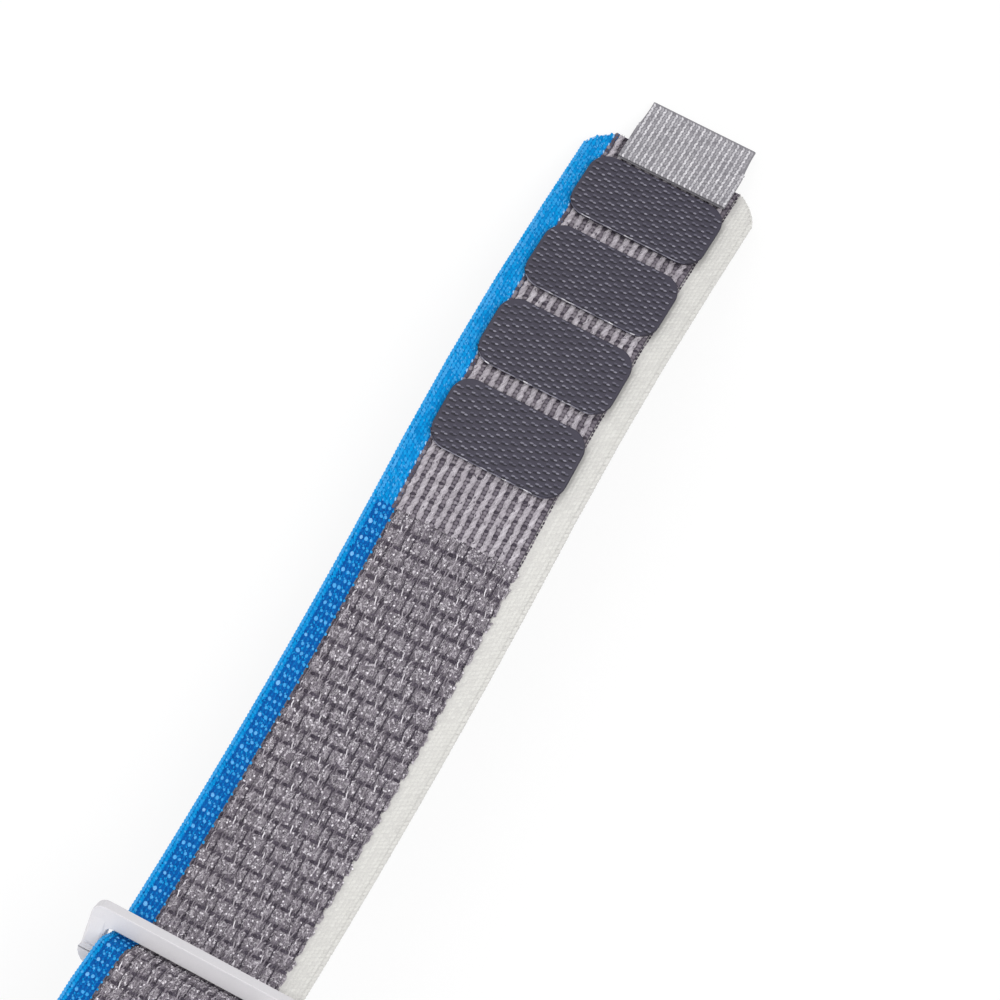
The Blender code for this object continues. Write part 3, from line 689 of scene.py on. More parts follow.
    def cord(self, low: float, high: float, y: float, rib: int) -> None:
        """One raised cord of three twisted plies, with stray fibres and dark flecks.

        Args:
            low: where it starts along the strap
            high: where it ends
            y: its place across the strap
            rib: number of its rib, which sets its twist
        """
        s = np.linspace(low - 0.02 * MM, high, max(4, int((high - low) / (0.16 * MM))))
        sway = 0.05 * MM * np.sin(s / MM * 1.9 + rib * 2.1)
        paths = []
        for ply in range(3):
            turn = s / MM * 2 * math.pi / CORD_TWIST + ply * 2 * math.pi / 3 + rib * 1.7
            paths.append(points_at(s, y + sway + self.ply_offset * np.cos(turn),
                                   0.42 * MM - sunk(s) + 0.12 * MM * np.sin(turn)))
        wool = self.noise.spread((3, len(s)), 0.045 * MM, self.ply_radius)
        bulge = NOTCH_PITCH / 2
        off = (s - NOTCH_START + rib * 0.12 * MM + bulge / 2) % bulge - bulge / 2
        wool = wool * (1 - 0.34 * np.exp(-(off / (0.2 * MM)) ** 2))
        tubes(self.bag, np.stack(paths), wool, (0, 1, 0), self.noise.spread(3, 0.08, 0.7), Yarn.GREY, 6)
        half, middle = (high - low) / 2, (high + low) / 2
        count = int((high - low) / MM * 8)
        t = np.linspace(-1, 1, 5)[None]
        s = self.noise.spread((count, 1), half, middle) + 0.24 * MM * t
        side = self.noise.spread((count, 1), 0.2 * MM)
        across = y + side + self.noise.spread((count, 1), 0.16 * MM) * t + self.noise.spread((count, 5), 0.03 * MM)
        fibres = points_at(s, across, 0.7 * MM - sunk(s) - side ** 2 * 1600 - 0.05 * MM * t ** 2)
        tubes(self.bag, fibres, 0.05 * MM, (0, 1, 0), self.noise.spread(count, 0.13, 0.76), Yarn.GREY)
        count = int((high - low) / MM * 0.7)
        s = self.noise.spread(count, half, middle)
        side = self.noise.spread(count, 0.26 * MM)
        rows = points_at(s, y + side, 0.72 * MM - sunk(s) - side ** 2 * 1800)
        slant, tone = self.noise.spread(count, 0.9), self.noise.spread(count, 0.14, 0.3)
        domes(self.bag, rows, 0.36 * MM, 0.2 * MM, 0.05 * MM, slant, tone, Yarn.GREY, (4, 3))

    def groove(self, low: float, high: float, y: float) -> None:
        """The ladder of crossing yarns between two cords, with painted shade in its holes and at the notches.

        Args:
            low: where it starts along the strap
            high: where it ends
            y: its place across the strap
        """
        s = self.lattice(0.0, 0.5 * MM)
        s = s[(s >= low) & (s < high)]
        rows = points_at(s, y, 0.4 * MM - sunk(s))
        tone = self.noise.spread(len(s), 0.12, 0.42)
        domes(self.bag, rows, 0.5 * MM, 0.62 * MM, 0.16 * MM, 0.25, tone, Yarn.GREY)
        # Near-black domes where the cords pinch: painted shade
        notch = self.lattice(NOTCH_START, NOTCH_PITCH)
        notch = notch[(notch >= low) & (notch < high)] + self.noise.spread(1, 0.1 * MM)
        notch_shade = points_at(notch, y + 0.06 * MM, np.where(notch < SUNK_FROM, 0.36, 0.56) * MM)
        domes(self.bag, notch_shade, 0.34 * MM, 0.6 * MM, 0.07 * MM, 0.3, 0.05, Yarn.GREY)
        # Dark domes in the ladder's holes: painted shade
        hole_shade = rows[self.noise.spread(len(s), 1.0) > 0.1] + np.array([0.25 * MM, -0.12 * MM, 0.1 * MM])
        tone = self.noise.spread(len(hole_shade), 0.06, 0.12)
        domes(self.bag, hole_shade, 0.24 * MM, 0.26 * MM, 0.06 * MM, 0.0, tone, Yarn.GREY, (4, 3))

    def back(self) -> None:
        """The flat weave on the side that lies on the wrist."""
        for column in range(self.back_columns):
            y = (column - self.back_columns // 2) * 0.62 * MM
            s = self.lattice(0.45 * MM * (column % 2), 0.9 * MM)
            s = s[(np.abs(y) < half_width(s) - 0.6 * MM) & (s < TIP - 0.6 * MM)]
            tone = self.noise.spread(len(s), 0.08, 0.5)
            rows, kind = points_at(s, y, -0.6 * MM), int(yarn_at(y))
            domes(self.bag, rows, 1.0 * MM, 0.56 * MM, -0.13 * MM, 0.12, tone, kind, (4, 3))

    def stitches(self) -> None:
        """The rows of sewing that hold the folded end under the strap."""
        y = np.arange(-9.4, 9.5, 1.45) * MM
        for s in self.stitch_rows:
            for lift, way in ((0.55, 1), (-0.72, -1)):
                tone = self.noise.spread(len(y), 0.05, 0.62)
                rows = points_at(s * MM, y, lift * MM)
                domes(self.bag, rows, 1.2 * MM, 0.36 * MM, way * 0.18 * MM, math.pi / 2, tone, Yarn.GREY)

    def pile(self) -> None:
        """The rows of loop pile whose middles lie on this length."""
        low = math.ceil((self.start - ROW_START) / ROW_PITCH - 0.5)
        high = math.ceil((self.stop - ROW_START) / ROW_PITCH - 0.5)
        for row in range(low, high):
            gap = ROW_START + row * ROW_PITCH
            if PILE_BACK_END < gap + ROW_PITCH / 2 < PILE_END:
                self.pile_row(row, gap)

    def pile_row(self, row: int, gap: float) -> None:
        """One row of the three-rib twill, which steps one rib towards the blue edge at every row.

        Args:
            row: number of the row
            gap: where the row starts along the strap
        """
        gap += MAIN_ROW_SHIFT if gap < 0 else 0
        for first in range(row % 3 - 3, RIB_COUNT + 1, 3):
            cell = Cell(gap, FIELD_LOW + first * RIB_PITCH)
            # Painted shade between the blocks, then the blocks and yarns over it
            for dark in PAINTED_SHADES:
                self.dark(cell, dark)
            for block in BLOCKS:
                self.block(cell, block)
            for start, stop, tone in YARNS:
                self.yarn(cell, (start, stop), 0.075 * MM, tone)

    def dark(self, cell: Cell, dark: PaintedShade) -> None:
        """One place of painted shade between the blocks, as a broken line of low dark spots where it is long.

        Args:
            cell: the twill's cell
            dark: the place of painted shade within the cell
        """
        y = cell.across(dark.across)
        if not in_field(y):
            return
        count = max(1, round(dark.length * ROW_PITCH / (0.34 * MM))) if dark.length > dark.width else 1
        spots = (np.arange(count) - (count - 1) / 2) * dark.length * ROW_PITCH / count
        rows = points_at(cell.along(dark.along) + spots, y, 0.52 * MM if count > 1 else 0.4 * MM)
        rows += self.noise.spread(rows.shape, 0.03 * MM)
        tone = np.clip(self.noise.spread(count, 0.06, dark.tone), 0, 1)
        length = dark.length * ROW_PITCH / count * (0.85 if count > 1 else 1.1)
        domes(self.bag, rows, length, dark.width * RIB_PITCH, 0.1 * MM, 0.0, tone, Yarn.GREY)

    def block(self, cell: Cell, block: Block) -> None:
        """One block of pile: a soft mound under crinkled loops, knots, short curls and painted highlights on turns of
        yarn.

        Args:
            cell: the twill's cell
            block: the block within the cell
        """
        left = max(cell.across(block.across[0]), FIELD_REACH[0])
        right = min(cell.across(block.across[1]), FIELD_REACH[1])
        if right - left < 0.25 * MM:
            return
        area = Area(cell.along(block.along[0]), cell.along(block.along[1]), left, right)
        mound = points_at([area.middle], area.centre, 0.3 * MM) + self.noise.spread((1, 3), 0.03 * MM)
        length, width, slant = area.length * 1.1, area.width * 1.14, self.noise.spread(1, 0.06)
        domes(self.bag, mound, length, width, 0.26 * MM, slant, 0.45, Yarn.GREY, (7, 6))
        self.strands(area)
        self.knots(area)
        self.curls(area)
        self.yarn(cell, block.streak, 0.08 * MM, 0.6)
        for across, along in block.specks:
            self.painted_glint(cell.along(along), cell.across(across))

    def painted_glint(self, s: float, y: float) -> None:
        """One painted highlight: a small bright dome standing for light caught on a turn of yarn.

        Args:
            s: its place along the strap
            y: its place across the strap
        """
        if in_field(y):
            shift = self.noise.spread((1, 3), 1.0) * np.array([0.17, 0.13, 0.02]) * MM
            rows = points_at([s], y, 0.64 * MM) + shift
            slant, tone = self.noise.spread(1, 0.6), self.noise.spread(1, 0.26, 0.76)
            domes(self.bag, rows, 0.26 * MM, 0.22 * MM, 0.1 * MM, slant, tone, Yarn.GREY)

    def strands(self, area: Area) -> None:
        """The crinkled loops that lie along the strap over a mound.

        Args:
            area: the ground under the mound
        """
        count, steps = max(3, round(area.width / (0.11 * MM))), 9
        t = np.linspace(0, 1, steps)[None]
        share = np.linspace(-1, 1, count)[:, None]
        y = area.centre + share * area.width * 0.46 + self.noise.spread((count, 1), 0.05 * MM)
        length = self.noise.spread((count, 1), 0.14 * MM, area.length)
        s = area.middle - length / 2 + length * t + self.noise.spread((count, steps), 0.05 * MM)
        y = y + self.noise.spread((count, steps), 0.075 * MM)
        top = self.noise.spread((count, steps), 0.05 * MM, 0.28 * MM) * (1 - 0.3 * np.abs(share) ** 3)
        h = 0.31 * MM + top * np.clip(np.sin(math.pi * t), 0, 1) ** 0.5
        tone = self.noise.spread(count, 0.2, 0.55)
        tubes(self.bag, points_at(s, y, h), 0.065 * MM, (0, 1, 0), tone, Yarn.GREY)

    def knots(self, area: Area) -> None:
        """Thick and thin places of the yarn, light and deep, all over a mound.

        Args:
            area: the ground under the mound
        """
        count = round(area.width / MM * 13)
        s = self.noise.spread(count, area.length * 0.46, area.middle)
        y = self.noise.spread(count, area.width * 0.45, area.centre)
        fall = ((s - area.middle) / area.length) ** 2 * 0.4 * MM
        size = self.noise.spread(count, 0.06 * MM, 0.24 * MM)
        tone = self.noise.spread(count, 0.36, 0.54)
        slant = self.noise.spread(count, 1.4)
        domes(self.bag, points_at(s, y, 0.6 * MM - fall), size * 1.2, size, 0.07 * MM, slant, tone, Yarn.GREY, (4, 4))

    def curls(self, area: Area) -> None:
        """Short loose turns of yarn on top of a mound.

        Args:
            area: the ground under the mound
        """
        count = round(area.width / MM * 9)
        t = np.linspace(0, 1, 6)[None]
        s0 = area.middle + self.noise.spread((count, 1), 0.62 * MM)
        y0 = self.noise.spread((count, 1), area.width * 0.4, area.centre)
        turn = self.noise.spread((count, 1), math.pi)
        size = self.noise.spread((count, 1), 0.04 * MM, 0.12 * MM)
        angle = math.pi * 1.3 * t
        s = s0 + size * (np.cos(angle) * np.cos(turn) - np.sin(angle) * np.sin(turn))
        y = y0 + size * (np.cos(angle) * np.sin(turn) + np.sin(angle) * np.cos(turn))
        fall = ((s0 - area.middle) / (0.95 * MM)) ** 2 * 0.16 * MM
        h = 0.64 * MM - fall + 0.05 * MM * np.sin(math.pi * t)
        tone = self.noise.spread(count, 0.25, 0.66)
        tubes(self.bag, points_at(s, y, h), 0.045 * MM, (0.3, 1, 0), tone, Yarn.GREY)

    def yarn(self, cell: Cell, ends: tuple[Pair, Pair], radius: float, tone: float) -> None:
        """One thick yarn between two places of the cell.

        Args:
            cell: the twill's cell
            ends: the two places, in ribs across and in rows along
            radius: the yarn's radius
            tone: its tone
        """
        (u0, v0), (u1, v1) = ends
        if not in_field(cell.across((u0 + u1) / 2)):
            return
        t = np.linspace(0, 1, 8)[None]
        s = cell.along(v0 + (v1 - v0) * t) + self.noise.spread((1, 1), 0.1 * MM)
        y = cell.across(u0 + (u1 - u0) * t) + self.noise.spread((1, 8), 0.04 * MM)
        y = y + self.noise.spread((1, 1), 0.09 * MM)
        h = 0.46 * MM + 0.16 * MM * np.sin(math.pi * t) + self.noise.spread((1, 8), 0.02 * MM)
        tubes(self.bag, points_at(s, y, h), radius, (0, 1, 0), self.noise.spread(1, 0.16, tone), Yarn.GREY, 5)


@dataclass
class HookPatch:
    """One moulded hook pad: a slab with a rounded rim, a painted highlight along one edge and a brick lattice of
    nubs.
    """

    name: str
    start: float
    line: StrapLine
    material: bpy.types.Material
    seed: int
    length: float = 8.76 * MM
    width: float = 17.0 * MM
    shift: float = 0.2 * MM
    corner: float = 2.4 * MM
    nub_rows: int = 20
    nub_pitch: float = 0.432
    # The slab's rings from its foot to its middle: inset and height in mm, and tone
    rings: tuple[tuple[float, float, float], ...] = (
        (0.25, 0.86, 0.2), (0.06, 0.88, 0.2), (0.0, 1.0, 0.25), (0.0, 1.32, 0.3), (0.05, 1.42, 0.4),
        (0.14, 1.46, 0.4), (0.3, 1.47, 0.4), (0.5, 1.47, 0.4), (0.9, 1.47, 0.4), (1.4, 1.47, 0.4),
        (2.2, 1.47, 0.4), (3.4, 1.47, 0.4), (4.0, 1.47, 0.4),
    )
    bag: MeshBag = field(init=False)
    noise: Noise = field(init=False)

    def __post_init__(self) -> None:
        """Start an empty mesh and this pad's own random numbers."""
        self.bag = MeshBag()
        self.noise = Noise(self.seed)

    def outline(self, inset: float) -> np.ndarray:
        """The pad's rounded rectangle about its own middle.

        Args:
            inset: how far it is drawn in

        Returns:
            (n, 2) places along and across the strap.
        """
        radius = max(self.corner - inset, 0.3 * MM)
        points = []
        for turn, (way_s, way_y) in enumerate(((1, 1), (-1, 1), (-1, -1), (1, -1))):
            centre_s = way_s * (self.length / 2 - inset - radius)
            centre_y = way_y * (self.width / 2 - inset - radius)
            for a in np.linspace(0, math.pi / 2, 9) + turn * math.pi / 2:
                points.append((centre_s + radius * math.cos(a), centre_y + radius * math.sin(a)))
        return np.array(points)

    def build(self) -> bpy.types.Object:
        """Build the pad.

        Returns:
            One object with the hook material.
        """
        middle = self.start + self.length / 2
        rows = []
        for inset, height, _ in self.rings:
            flat = self.outline(inset * MM)
            rows.append(points_at(flat[:, 0] + middle, flat[:, 1] + self.shift, height * MM))
        size = len(rows[0])
        tones = np.repeat([tone for _, _, tone in self.rings], size)
        self.bag.add(np.concatenate(rows), grid_quads(len(rows), size, True), tones, 0)
        self.bag.close(ring_quads((len(rows) - 1) * size, size), 0)
        self.nubs(middle)
        self.painted_edge_highlight(middle)
        return self.bag.build(self.name, self.line.place, [self.material])

    def nubs(self, middle: float) -> None:
        """The brick lattice of low hooks: two turns side by side, with a painted shadow below them as a flat black
        dome.

        Args:
            middle: the pad's middle along the strap
        """
        for row in range(self.nub_rows):
            s = (row - (self.nub_rows - 1) / 2) * self.nub_pitch * MM
            y = np.arange(-5, 6) * 1.92 * MM + (0.96 * MM if row % 2 else 0)
            corner = np.clip(np.abs(y) + 0.3 * MM - (self.width / 2 - self.corner), 0, self.corner)
            limit = self.length / 2 - 0.22 * MM - (self.corner - np.sqrt(self.corner ** 2 - corner ** 2))
            y = y[(np.abs(y) < self.width / 2 - 0.35 * MM) & (abs(s) < limit)]
            n = len(y)
            centre = points_at(middle + s, y + self.shift, 1.48 * MM)
            centre[:, :2] += self.noise.spread((n, 2), 0.025 * MM)
            for side, length, tone in ((0.2, 0.56, 0.64), (-0.24, 0.5, 0.7)):
                part = centre + np.array([0.12 * side, side, 0.0]) * MM
                tones = self.noise.spread(n, 0.13, tone)
                domes(self.bag, part, 0.22 * MM, length * MM, 0.13 * MM, 0.14, tones, 0)
            # Painted shadow: a flat black dome under each hook
            foot = centre + np.array([-0.18, -0.08, -0.005]) * MM
            domes(self.bag, foot, 0.28 * MM, 1.05 * MM, 0.02 * MM, 0.14, 0.0, 0, (4, 3))

    def painted_edge_highlight(self, middle: float) -> None:
        """A painted highlight: a thin bright tube along the pad's edge that faces the strap's middle.

        Args:
            middle: the pad's middle along the strap
        """
        points = self.outline(0.0)
        edge = points[points[:, 0] < -self.length / 2 + self.corner * 0.8]
        edge = edge[np.argsort(edge[:, 1])]
        count = 121
        y = np.linspace(edge[0, 1], edge[-1, 1], count)
        s = middle + np.interp(y, edge[:, 1], edge[:, 0]) - 0.05 * MM
        path = points_at(s, y + self.shift, 1.4 * MM)
        path[:, 2] += self.noise.spread(count, 0.02 * MM)
        # Painted highlight: bright in waves along this one edge, dimmer towards its ends
        tone = 0.78 + 0.14 * np.sin(y / MM * 2.3 + middle / MM) + self.noise.spread(count, 0.12)
        tone *= np.clip((edge[-1, 1] - np.abs(y)) / (1.5 * MM), 0.3, 1)
        for low in range(0, count - 1, 4):
            tubes(self.bag, path[None, low:low + 5], 0.075 * MM, (1, 0, 0), tone[low], 0, 5)


@dataclass
class Ribbon:
    """The silver woven pull tab, sewn on the strap's free end and bent up from it."""

    name: str
    material: bpy.types.Material
    hinge: Vector
    turn: float
    base_turn: float
    start: float = -3.7 * MM
    stop: float = 4.65 * MM
    bend: float = 0.6 * MM
    middle_y: float = -0.5 * MM
    face: float = 0.24 * MM
    columns: int = 38
    profile: tuple[Pair, ...] = (
        (-1, 0.15), (-0.97, 0.24), (0, 0.24), (0.97, 0.24), (1, 0.15), (1, -0.15), (0.97, -0.24), (0, -0.24),
        (-0.97, -0.24), (-1, -0.15),
    )

    def slope(self, s: np.ndarray) -> np.ndarray:
        """The ribbon's heading at places along it."""
        share = np.clip((s + self.bend) / (2 * self.bend), 0, 1)
        return self.base_turn + (self.turn - self.base_turn) * share ** 2 * (3 - 2 * share)

    def place(self, points: np.ndarray) -> np.ndarray:
        """Carry ribbon coordinates, along it from the bending line, into the row frame.

        Args:
            points: (n, 3) places along, across and above the ribbon

        Returns:
            The same places as (n, 3) x, y and z.
        """
        s, y, h = points[:, 0], points[:, 1], points[:, 2]
        fine = np.linspace(self.start - MM, self.stop + MM, 400)
        heading = self.slope(fine)
        step = fine[1] - fine[0]
        x = np.cumsum(np.cos(heading)) * step
        z = np.cumsum(np.sin(heading)) * step
        x -= np.interp(0, fine, x)
        z -= np.interp(0, fine, z)
        turn = self.slope(s)
        return np.stack([np.interp(s, fine, x) + self.hinge.x - h * np.sin(turn), y,
                         np.interp(s, fine, z) + self.hinge.z + h * np.cos(turn)], axis=1)

    def half(self, s: np.ndarray) -> np.ndarray:
        """Half the ribbon's width, a little less beyond its middle."""
        share = np.clip((s - 0.5 * MM) / (4.5 * MM), 0, 1)
        return (6.95 - 0.3 * np.sin(share * math.pi / 1.6)) * MM

    def build(self) -> bpy.types.Object:
        """Build the ribbon: a flat core under zigzag rows of floats on both faces.

        Returns:
            One object with the ribbon material.
        """
        bag = MeshBag()
        noise = Noise(77)
        s = np.linspace(self.start, self.stop, 40)
        profile = np.array(self.profile)
        size = len(profile)
        y = profile[None, :, 0] * self.half(s)[:, None] + self.middle_y
        points = points_at(s[:, None], y, profile[:, 1] * MM).reshape(-1, 3)
        bag.add(points, grid_quads(len(s), size, True), 0.36, 0)
        bag.close(ring_quads(0, size), 0)
        bag.close(ring_quads((len(s) - 1) * size, size)[:, ::-1], 0)
        for way in (1, -1):
            for column in range(self.columns):
                odd = column % 2
                across = (column - (self.columns - 1) / 2) * 0.365 * MM
                rows = np.arange(self.start + 0.2 * MM, self.stop - 0.1 * MM, 0.3 * MM)
                rows = rows[(rows < self.stop - 0.15 * MM) & (abs(across) < self.half(rows) - 0.08 * MM)]
                y = across + self.middle_y + noise.spread(len(rows), 0.02 * MM)
                tone = noise.spread(len(rows), 0.12, 0.46 if odd else 0.76)
                slant = way * 0.62 * (-1.0) ** np.arange(len(rows))
                relief = way * (0.09 if odd else 0.13) * MM
                domes(bag, points_at(rows, y, way * self.face), 0.46 * MM, 0.3 * MM, relief, slant, tone, 0)
        return bag.build(self.name, self.place, [self.material])


@dataclass(frozen=True)
class Finish:
    """How a material looks: a ramp of display colours over the tone, and its surface."""

    name: str
    stops: tuple[tuple[float, tuple[int, int, int]], ...]
    roughness: float
    sheen: float = 0.0
    metallic: float = 0.0
    grain: float = 0.12
    specular: float = 0.4


def to_linear(value: float) -> float:
    """A display value from 0 to 255 as linear light."""
    v = value / 255
    return v / 12.92 if v <= 0.04045 else ((v + 0.055) / 1.055) ** 2.4


FINISHES = {
    "blue": Finish("blue_yarn", (
        (0.0, (6, 48, 116)), (0.28, (14, 86, 160)), (0.5, (4, 140, 206)), (0.75, (86, 164, 222)),
        (1.0, (160, 200, 236))), 0.8, specular=0.05),
    "grey": Finish("grey_yarn", (
        (0.0, (40, 33, 45)), (0.15, (78, 71, 83)), (0.45, (122, 115, 124)), (0.72, (172, 166, 173)),
        (1.0, (236, 232, 238))), 0.7, sheen=0.1, specular=0.3),
    "white": Finish("white_yarn", (
        (0.0, (170, 167, 167)), (0.25, (190, 188, 186)), (0.5, (204, 203, 199)), (1.0, (220, 219, 216))),
        0.8, sheen=0.1, grain=0.05, specular=0.25),
    # The hook ramp's near-white top stop is reached only by the painted highlight along each pad's edge
    "hook": Finish("hook_plastic", (
        (0.0, (20, 17, 29)), (0.4, (52, 49, 62)), (0.62, (91, 89, 103)), (0.85, (138, 136, 149)),
        (1.0, (214, 212, 218))), 0.58, grain=0.05, specular=0.35),
    "ribbon": Finish("silver_ribbon", (
        (0.0, (74, 72, 77)), (0.3, (108, 106, 112)), (0.7, (182, 180, 185)), (1.0, (232, 230, 234))),
        0.72, sheen=0.1),
    "aluminium": Finish("lug_aluminium", ((0.0, (205, 203, 206)), (1.0, (216, 213, 217))), 0.5, grain=0.02,
                        specular=0.5),
    "steel": Finish("latch_steel", ((0.0, (190, 190, 192)), (1.0, (205, 205, 208))), 0.3, metallic=1.0, grain=0.02),
    "cover": Finish("cover_plastic", ((0.0, (196, 193, 198)), (1.0, (210, 207, 212))), 0.45, grain=0.02),
    "rubber": Finish("pad_rubber", ((0.0, (150, 148, 152)), (1.0, (170, 168, 172))), 0.85, grain=0.05),
}
LUG_FINISHES = {
    "body": "aluminium", "latch": "steel", "spring": "steel", "cover": "cover", "left": "rubber", "right": "rubber",
}
GRAIN_STRENGTH = 6


def add_node(tree: bpy.types.NodeTree, kind: str, values: dict[str | int, float] | None = None,
             **settings: object) -> bpy.types.Node:
    """Add a shader node.

    Args:
        tree: where it goes
        kind: its type, without the word ShaderNode
        values: numbers for its sockets, by name or place
        settings: its own properties

    Returns:
        The new node.
    """
    node = tree.nodes.new("ShaderNode" + kind)
    for name, value in settings.items():
        setattr(node, name, value)
    for socket, value in (values or {}).items():
        node.inputs[socket].default_value = value
    return node


def grain_group() -> bpy.types.NodeTree:
    """Make the shared fibre grain.

    Returns:
        A node group that takes Amount and puts out Factor, a value about 1, and Normal.
    """
    group = bpy.data.node_groups.new("fibre_grain", "ShaderNodeTree")
    face = group.interface
    face.new_socket("Amount", in_out="INPUT", socket_type="NodeSocketFloat")
    face.new_socket("Factor", in_out="OUTPUT", socket_type="NodeSocketFloat")
    face.new_socket("Normal", in_out="OUTPUT", socket_type="NodeSocketVector")
    links = group.links
    enter = group.nodes.new("NodeGroupInput")
    leave = group.nodes.new("NodeGroupOutput")
    where = add_node(group, "TexCoord")
    fine = add_node(group, "TexNoise", {"Scale": 9000.0, "Detail": 2.0})
    centre = add_node(group, "Math", {1: 0.5}, operation="SUBTRACT")
    scaled = add_node(group, "Math", {2: 1.0}, operation="MULTIPLY_ADD")
    bump = add_node(group, "Bump", {"Strength": 0.35, "Distance": 0.00003})
    links.new(where.outputs["Object"], fine.inputs["Vector"])
    links.new(fine.outputs["Fac"], centre.inputs[0])
    links.new(centre.outputs[0], scaled.inputs[0])
    links.new(enter.outputs["Amount"], scaled.inputs[1])
    links.new(fine.outputs["Fac"], bump.inputs["Height"])
    links.new(scaled.outputs[0], leave.inputs["Factor"])
    links.new(bump.outputs["Normal"], leave.inputs["Normal"])
    return group


def make_material(finish: Finish, grain: bpy.types.NodeTree) -> bpy.types.Material:
    """Build one finish as a procedural material.

    Args:
        finish: its colours and surface
        grain: the shared fibre grain

    Returns:
        The new material.
    """
    material = bpy.data.materials.new("look_" + finish.name)
    material.use_nodes = True
    tree, links = material.node_tree, material.node_tree.links
    shader = tree.nodes["Principled BSDF"]
    tone = add_node(tree, "Attribute", attribute_name="tone")
    ramp = add_node(tree, "ValToRGB")
    stops = ramp.color_ramp.elements
    while len(stops) < len(finish.stops):
        stops.new(0.5)
    for element, (position, _) in zip(stops, finish.stops):
        element.position = position
    for element, (_, colour) in zip(stops, finish.stops):
        element.color = (*(to_linear(c) for c in colour), 1)
    fibre = add_node(tree, "Group", {"Amount": finish.grain * GRAIN_STRENGTH}, node_tree=grain)
    scale = add_node(tree, "Mix", {"Factor": 1.0}, data_type="RGBA", blend_type="MULTIPLY")
    links.new(tone.outputs["Fac"], ramp.inputs["Fac"])
    links.new(ramp.outputs["Color"], scale.inputs["A"])
    links.new(fibre.outputs["Factor"], scale.inputs["B"])
    links.new(scale.outputs["Result"], shader.inputs["Base Color"])
    links.new(fibre.outputs["Normal"], shader.inputs["Normal"])
    surface = {
        "Roughness": finish.roughness, "Metallic": finish.metallic, "Specular IOR Level": finish.specular,
        "Sheen Weight": finish.sheen, "Sheen Roughness": 0.5,
    }
    for socket, value in surface.items():
        shader.inputs[socket].default_value = value
    return material


@dataclass(frozen=True)
class Length:
    """One length of the webbing: where it lies, what it bends between and what it stands for."""

    name: str
    start: float
    stop: float
    bodies: tuple[str, str]
    bend: Pair | None
    stands_for: tuple[str, ...]


def strap_lengths() -> list[Length]:
    """Lay out the webbing's lengths.

    Returns:
        Every length, from the sewn loop to the free end, in mm along the strap.
    """
    lengths = []
    ends = [joint - HALF_LINK for joint in MAIN_JOINTS[:-1]] + [MAIN_END]
    for number, (joint, end) in enumerate(zip(MAIN_JOINTS, ends), 2):
        bodies = ("strap_middle" if number == 2 else f"main_{number - 1}", f"main_{number}")
        stands_for = (f"webbing_main_{number}",) + (("anchor_loop",) if number == 8 else ())
        name = f"cloth_main_{number}"
        lengths.append(Length(name, end, joint + HALF_LINK, bodies, (joint, MAIN_BEND), stands_for))
    lengths.reverse()
    crossed = ("slot_webbing", "webbing_main_1", "webbing_tail_1")
    slot_ends = (MAIN_JOINTS[0] + HALF_LINK, TAIL_START)
    lengths.append(Length("cloth_slot", *slot_ends, ("strap_middle", "tail_1"), None, crossed))
    start = TAIL_START
    stops = [(a + b) / 2 for a, b in zip(TAIL_JOINTS, TAIL_JOINTS[1:])] + [TIP / MM]
    for number, (joint, half, stop) in enumerate(zip(TAIL_JOINTS, TAIL_BENDS, stops), 2):
        bodies = (f"tail_{number - 1}", f"tail_{number}")
        name = f"cloth_tail_{number}"
        lengths.append(Length(name, start, stop, bodies, (joint, half), (f"webbing_tail_{number}",)))
        start = stop
    return lengths


def joint_point(name: str) -> Vector:
    """Where a joint is in the row frame."""
    return Vector(next(j for j in frame["joints"] if j["name"] == name)["pos_m"])


